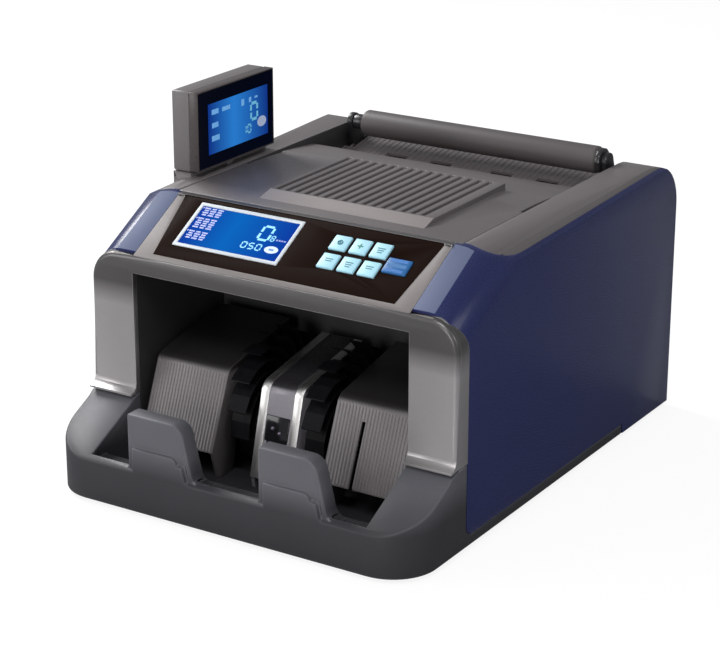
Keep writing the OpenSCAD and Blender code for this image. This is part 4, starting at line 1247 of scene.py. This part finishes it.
# %% Caps and signs
KEY_S = 12.2
KEY_PITCH = 14.5
KEY_TOP = 1.3
KEY_X0 = 24.4
KEY_V = (35.6, 20.0)
BLUE_KEY = (KEY_X0 + 3 * KEY_PITCH - 0.4, 26.0, 16.8)
keys = [(KEY_X0 + c * KEY_PITCH, v, KEY_S) for v in KEY_V for c in range(3)]
keys.append(BLUE_KEY)
for number, (left, low, wide) in enumerate(keys, 1):
    node = f"key_{number}"
    cap = copy_of(node)
    soften(cap, 0.9, 3)
    x = left + wide / 2
    v = low + KEY_S / 2
    signs = []
    if number == 1:
        signs.append(ring(on_slope(x, v, KEY_TOP), 1.5, 0.5, "sign_teal"))
        signs.append(plate(on_slope(x, v + 0.4, KEY_TOP), (0.9, 2.6, SIGN_T), "sign_teal"))
    elif number == 2:
        signs.append(plate(on_slope(x, v, KEY_TOP), (4.0, 1.1, SIGN_T), "sign_green"))
        signs.append(plate(on_slope(x, v, KEY_TOP), (1.1, 4.0, SIGN_T), "sign_green"))
    elif number == 7:
        for row in (-4.2, 4.0):
            signs.append(plate(on_slope(x, v + row, KEY_TOP), (12.0, 2.3, SIGN_T), "sign_deep"))
        signs.append(plate(on_slope(x, v, KEY_TOP), (13.0, 2.6, SIGN_T), "sign_light"))
    else:
        for row in range(2 + number % 2):
            spot = on_slope(x, v + 1.4 - 1.7 * row, KEY_TOP)
            signs.append(plate(spot, (5.6 - row, 0.8, SIGN_T), "sign_teal"))
    cap = join(node + "_dressed", [cap] + signs)
    stand_in(cap, node)
print(len(keys), "keys")

# %% [markdown]
# ## Screens
# Both screens show much the same: groups of small signs on the left, a big counter
# that stands at zero, a short batch number and an oval sign. Digits could be text, but
# seven bars look more like those of a counter.

# %% Seven-bar digits
BARS = {
    "top": (0, 1, "flat"),
    "middle": (0, 0, "flat"),
    "bottom": (0, -1, "flat"),
    "upper_left": (-1, 0.5, "tall"),
    "upper_right": (1, 0.5, "tall"),
    "lower_left": (-1, -0.5, "tall"),
    "lower_right": (1, -0.5, "tall"),
}
DIGITS = {
    "0": ("top", "bottom", "upper_left", "upper_right", "lower_left", "lower_right"),
    "1": ("upper_right", "lower_right"),
    "5": ("top", "middle", "bottom", "upper_left", "lower_right"),
    "8": tuple(BARS),
}


def digit(place, shape, wide, high, bar, finish, turn):
    """One digit round place(across, up), with bars that don't quite meet."""
    made = []
    for key in DIGITS[shape]:
        across, up, lie = BARS[key]
        centre = place(across * wide / 2, up * high / 2)
        size = (wide - bar * 0.8, bar) if lie == "flat" else (bar, high / 2 - bar * 0.8)
        made.append(plate(centre, (*size, SIGN_T), finish, turn))
    return made


def oval(centre, wide, high, turn):
    """A pale oval sign, wide and high from its middle to its rim."""
    bpy.ops.mesh.primitive_cylinder_add(
        vertices=40, radius=1, depth=1, location=centre, rotation=turn
    )
    made = bpy.context.object
    made.scale = (wide * MM, high * MM, SIGN_T * MM)
    settle(made)
    dress(made, "glow_white")
    return made


print(len(DIGITS), "digits can be set")

# %% [markdown]
# The machine's own screen lies in the control panel. Its signs are set out from the
# panel's lower edge, and all of them are joined into one piece, because they never
# move on their own.

# %% The machine's own screen
SCREEN_W = 0.32
OVAL_AT = (-11.6, 26.0)


def screen_spot(x, v):
    """Places a digit's bars round a point of the panel."""
    return lambda across, up: on_slope(x + across, v + up, SCREEN_W)


signs = []
for v, rows in ((46.6, 4), (37.6, 5), (26.2, 4)):
    for row in range(rows):
        for column in range(3):
            spot = on_slope(-73.4 + 5.0 * column, v + 2.6 - 1.9 * row, SCREEN_W)
            signs.append(plate(spot, (4.2 - (row + column) % 2, 1.15, SIGN_T), "glow_lilac"))
    signs.append(plate(on_slope(-76.6, v + 2.6, SCREEN_W), (0.9, 0.9, SIGN_T), "glow_lilac"))
signs += digit(screen_spot(-22.4, 38.2), "0", 7.6, 11.4, 1.7, "glow_cyan", SLOPE_TURN)
signs += digit(screen_spot(-15.4, 35.0), "8", 2.4, 4.2, 0.7, "glow_cyan", SLOPE_TURN)
for place, shape in ((-32.0, "0"), (-26.6, "5"), (-21.2, "0")):
    signs += digit(screen_spot(place, 26.0), shape, 3.4, 4.8, 0.9, "glow_cyan", SLOPE_TURN)
for column in range(4):
    spot = on_slope(-12.0 + 1.9 * column, 34.4, SCREEN_W)
    signs.append(plate(spot, (1.4, 1.1, SIGN_T), "glow_lilac"))
signs.append(oval(on_slope(*OVAL_AT, SCREEN_W), 5.0, 3.0, SLOPE_TURN))
signs.append(plate(on_slope(*OVAL_AT, SCREEN_W + 0.1), (3.4, 1.4, SIGN_T), "sign_deep"))
lcd_signs = join("lcd_signs", signs)
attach(lcd_signs, "body")
print("machine screen", len(lcd_signs.data.polygons), "faces")

# %% [markdown]
# ## Customer display
# The rear shell is a plain rounded box. The front has a black glossy face set into a
# brown-grey rim, with the lit window in the middle of it.

# %% Display shells
DISP_FACE = -109.5
RIM_W = 0.8
RIM_H = 0.4
moulding("display_housing", 1.4, 3)
rim = copy_of("display_screen")
pick(rim)
bpy.ops.object.mode_set(mode="EDIT")
bpy.ops.mesh.select_mode(type="FACE")
bpy.ops.mesh.select_all(action="DESELECT")
bpy.ops.object.mode_set(mode="OBJECT")
for face in rim.data.polygons:
    face.select = face.normal.x > 0.9
bpy.ops.object.mode_set(mode="EDIT")
bpy.ops.mesh.inset(thickness=RIM_W * MM, depth=0)
bpy.ops.mesh.extrude_region_move(TRANSFORM_OT_translate={"value": (-RIM_H * MM, 0, 0)})
bpy.ops.object.mode_set(mode="OBJECT")
dress(rim, "display_rim", "display_front")
for face in rim.data.polygons:
    inside = face.center.x < (DISP_FACE - RIM_H / 2) * MM and face.normal.x > 0.9
    face.material_index = 1 if inside else 0
soften(rim, 0.35, 2)
stand_in(rim, "display_screen")
print("display front", len(rim.data.polygons), "faces")

# %% [markdown]
# The lit window repeats the machine's own screen for the customer. It is a glowing
# plate with small signs on it. All of it turns with the display on its neck, so it is
# one piece that rides on the display's body.

# %% Lit window of the display
WINDOW_Y = (95.5, 163.5)
WINDOW_Z = (189.0, 223.0)
FACE_TURN = (math.pi / 2, 0, math.pi / 2)
GLASS_X = DISP_FACE - 0.3
window_mid = ((WINDOW_Y[0] + WINDOW_Y[1]) / 2, (WINDOW_Z[0] + WINDOW_Z[1]) / 2)
lit = plate(
    at(GLASS_X, *window_mid),
    (WINDOW_Y[1] - WINDOW_Y[0], WINDOW_Z[1] - WINDOW_Z[0], 0.3),
    "window_blue",
    FACE_TURN,
)
signs = [lit]
SIGN_X = GLASS_X + 0.17


def window_spot(y, z):
    """Places a digit's bars round a point of the window."""
    return lambda across, up: at(SIGN_X, y + across, z + up)


for y, z, wide, high in (
    (103.0, 217.0, 7.5, 3.4),
    (115.5, 216.8, 9.0, 2.8),
    (102.8, 208.0, 7.0, 3.4),
    (103.2, 199.2, 8.5, 3.6),
    (134.5, 216.4, 3.2, 4.4),
    (143.0, 216.6, 2.6, 3.4),
    (150.0, 217.2, 3.4, 1.4),
):
    signs.append(plate(at(SIGN_X, y, z), (wide, high, SIGN_T), "glow_sky", FACE_TURN))
signs += digit(window_spot(147.5, 208.0), "0", 7.2, 11.0, 2.0, "glow_cyan", FACE_TURN)
for place, shape in ((136.0, "1"), (141.5, "0")):
    signs += digit(window_spot(place, 197.0), shape, 3.6, 5.4, 1.1, "glow_cyan", FACE_TURN)
signs.append(oval(at(SIGN_X, 156.2, 199.0), 5.2, 3.6, FACE_TURN))
lit_window = join("display_window", signs)
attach(lit_window, "display")
print("display window", len(lit_window.data.polygons), "faces")
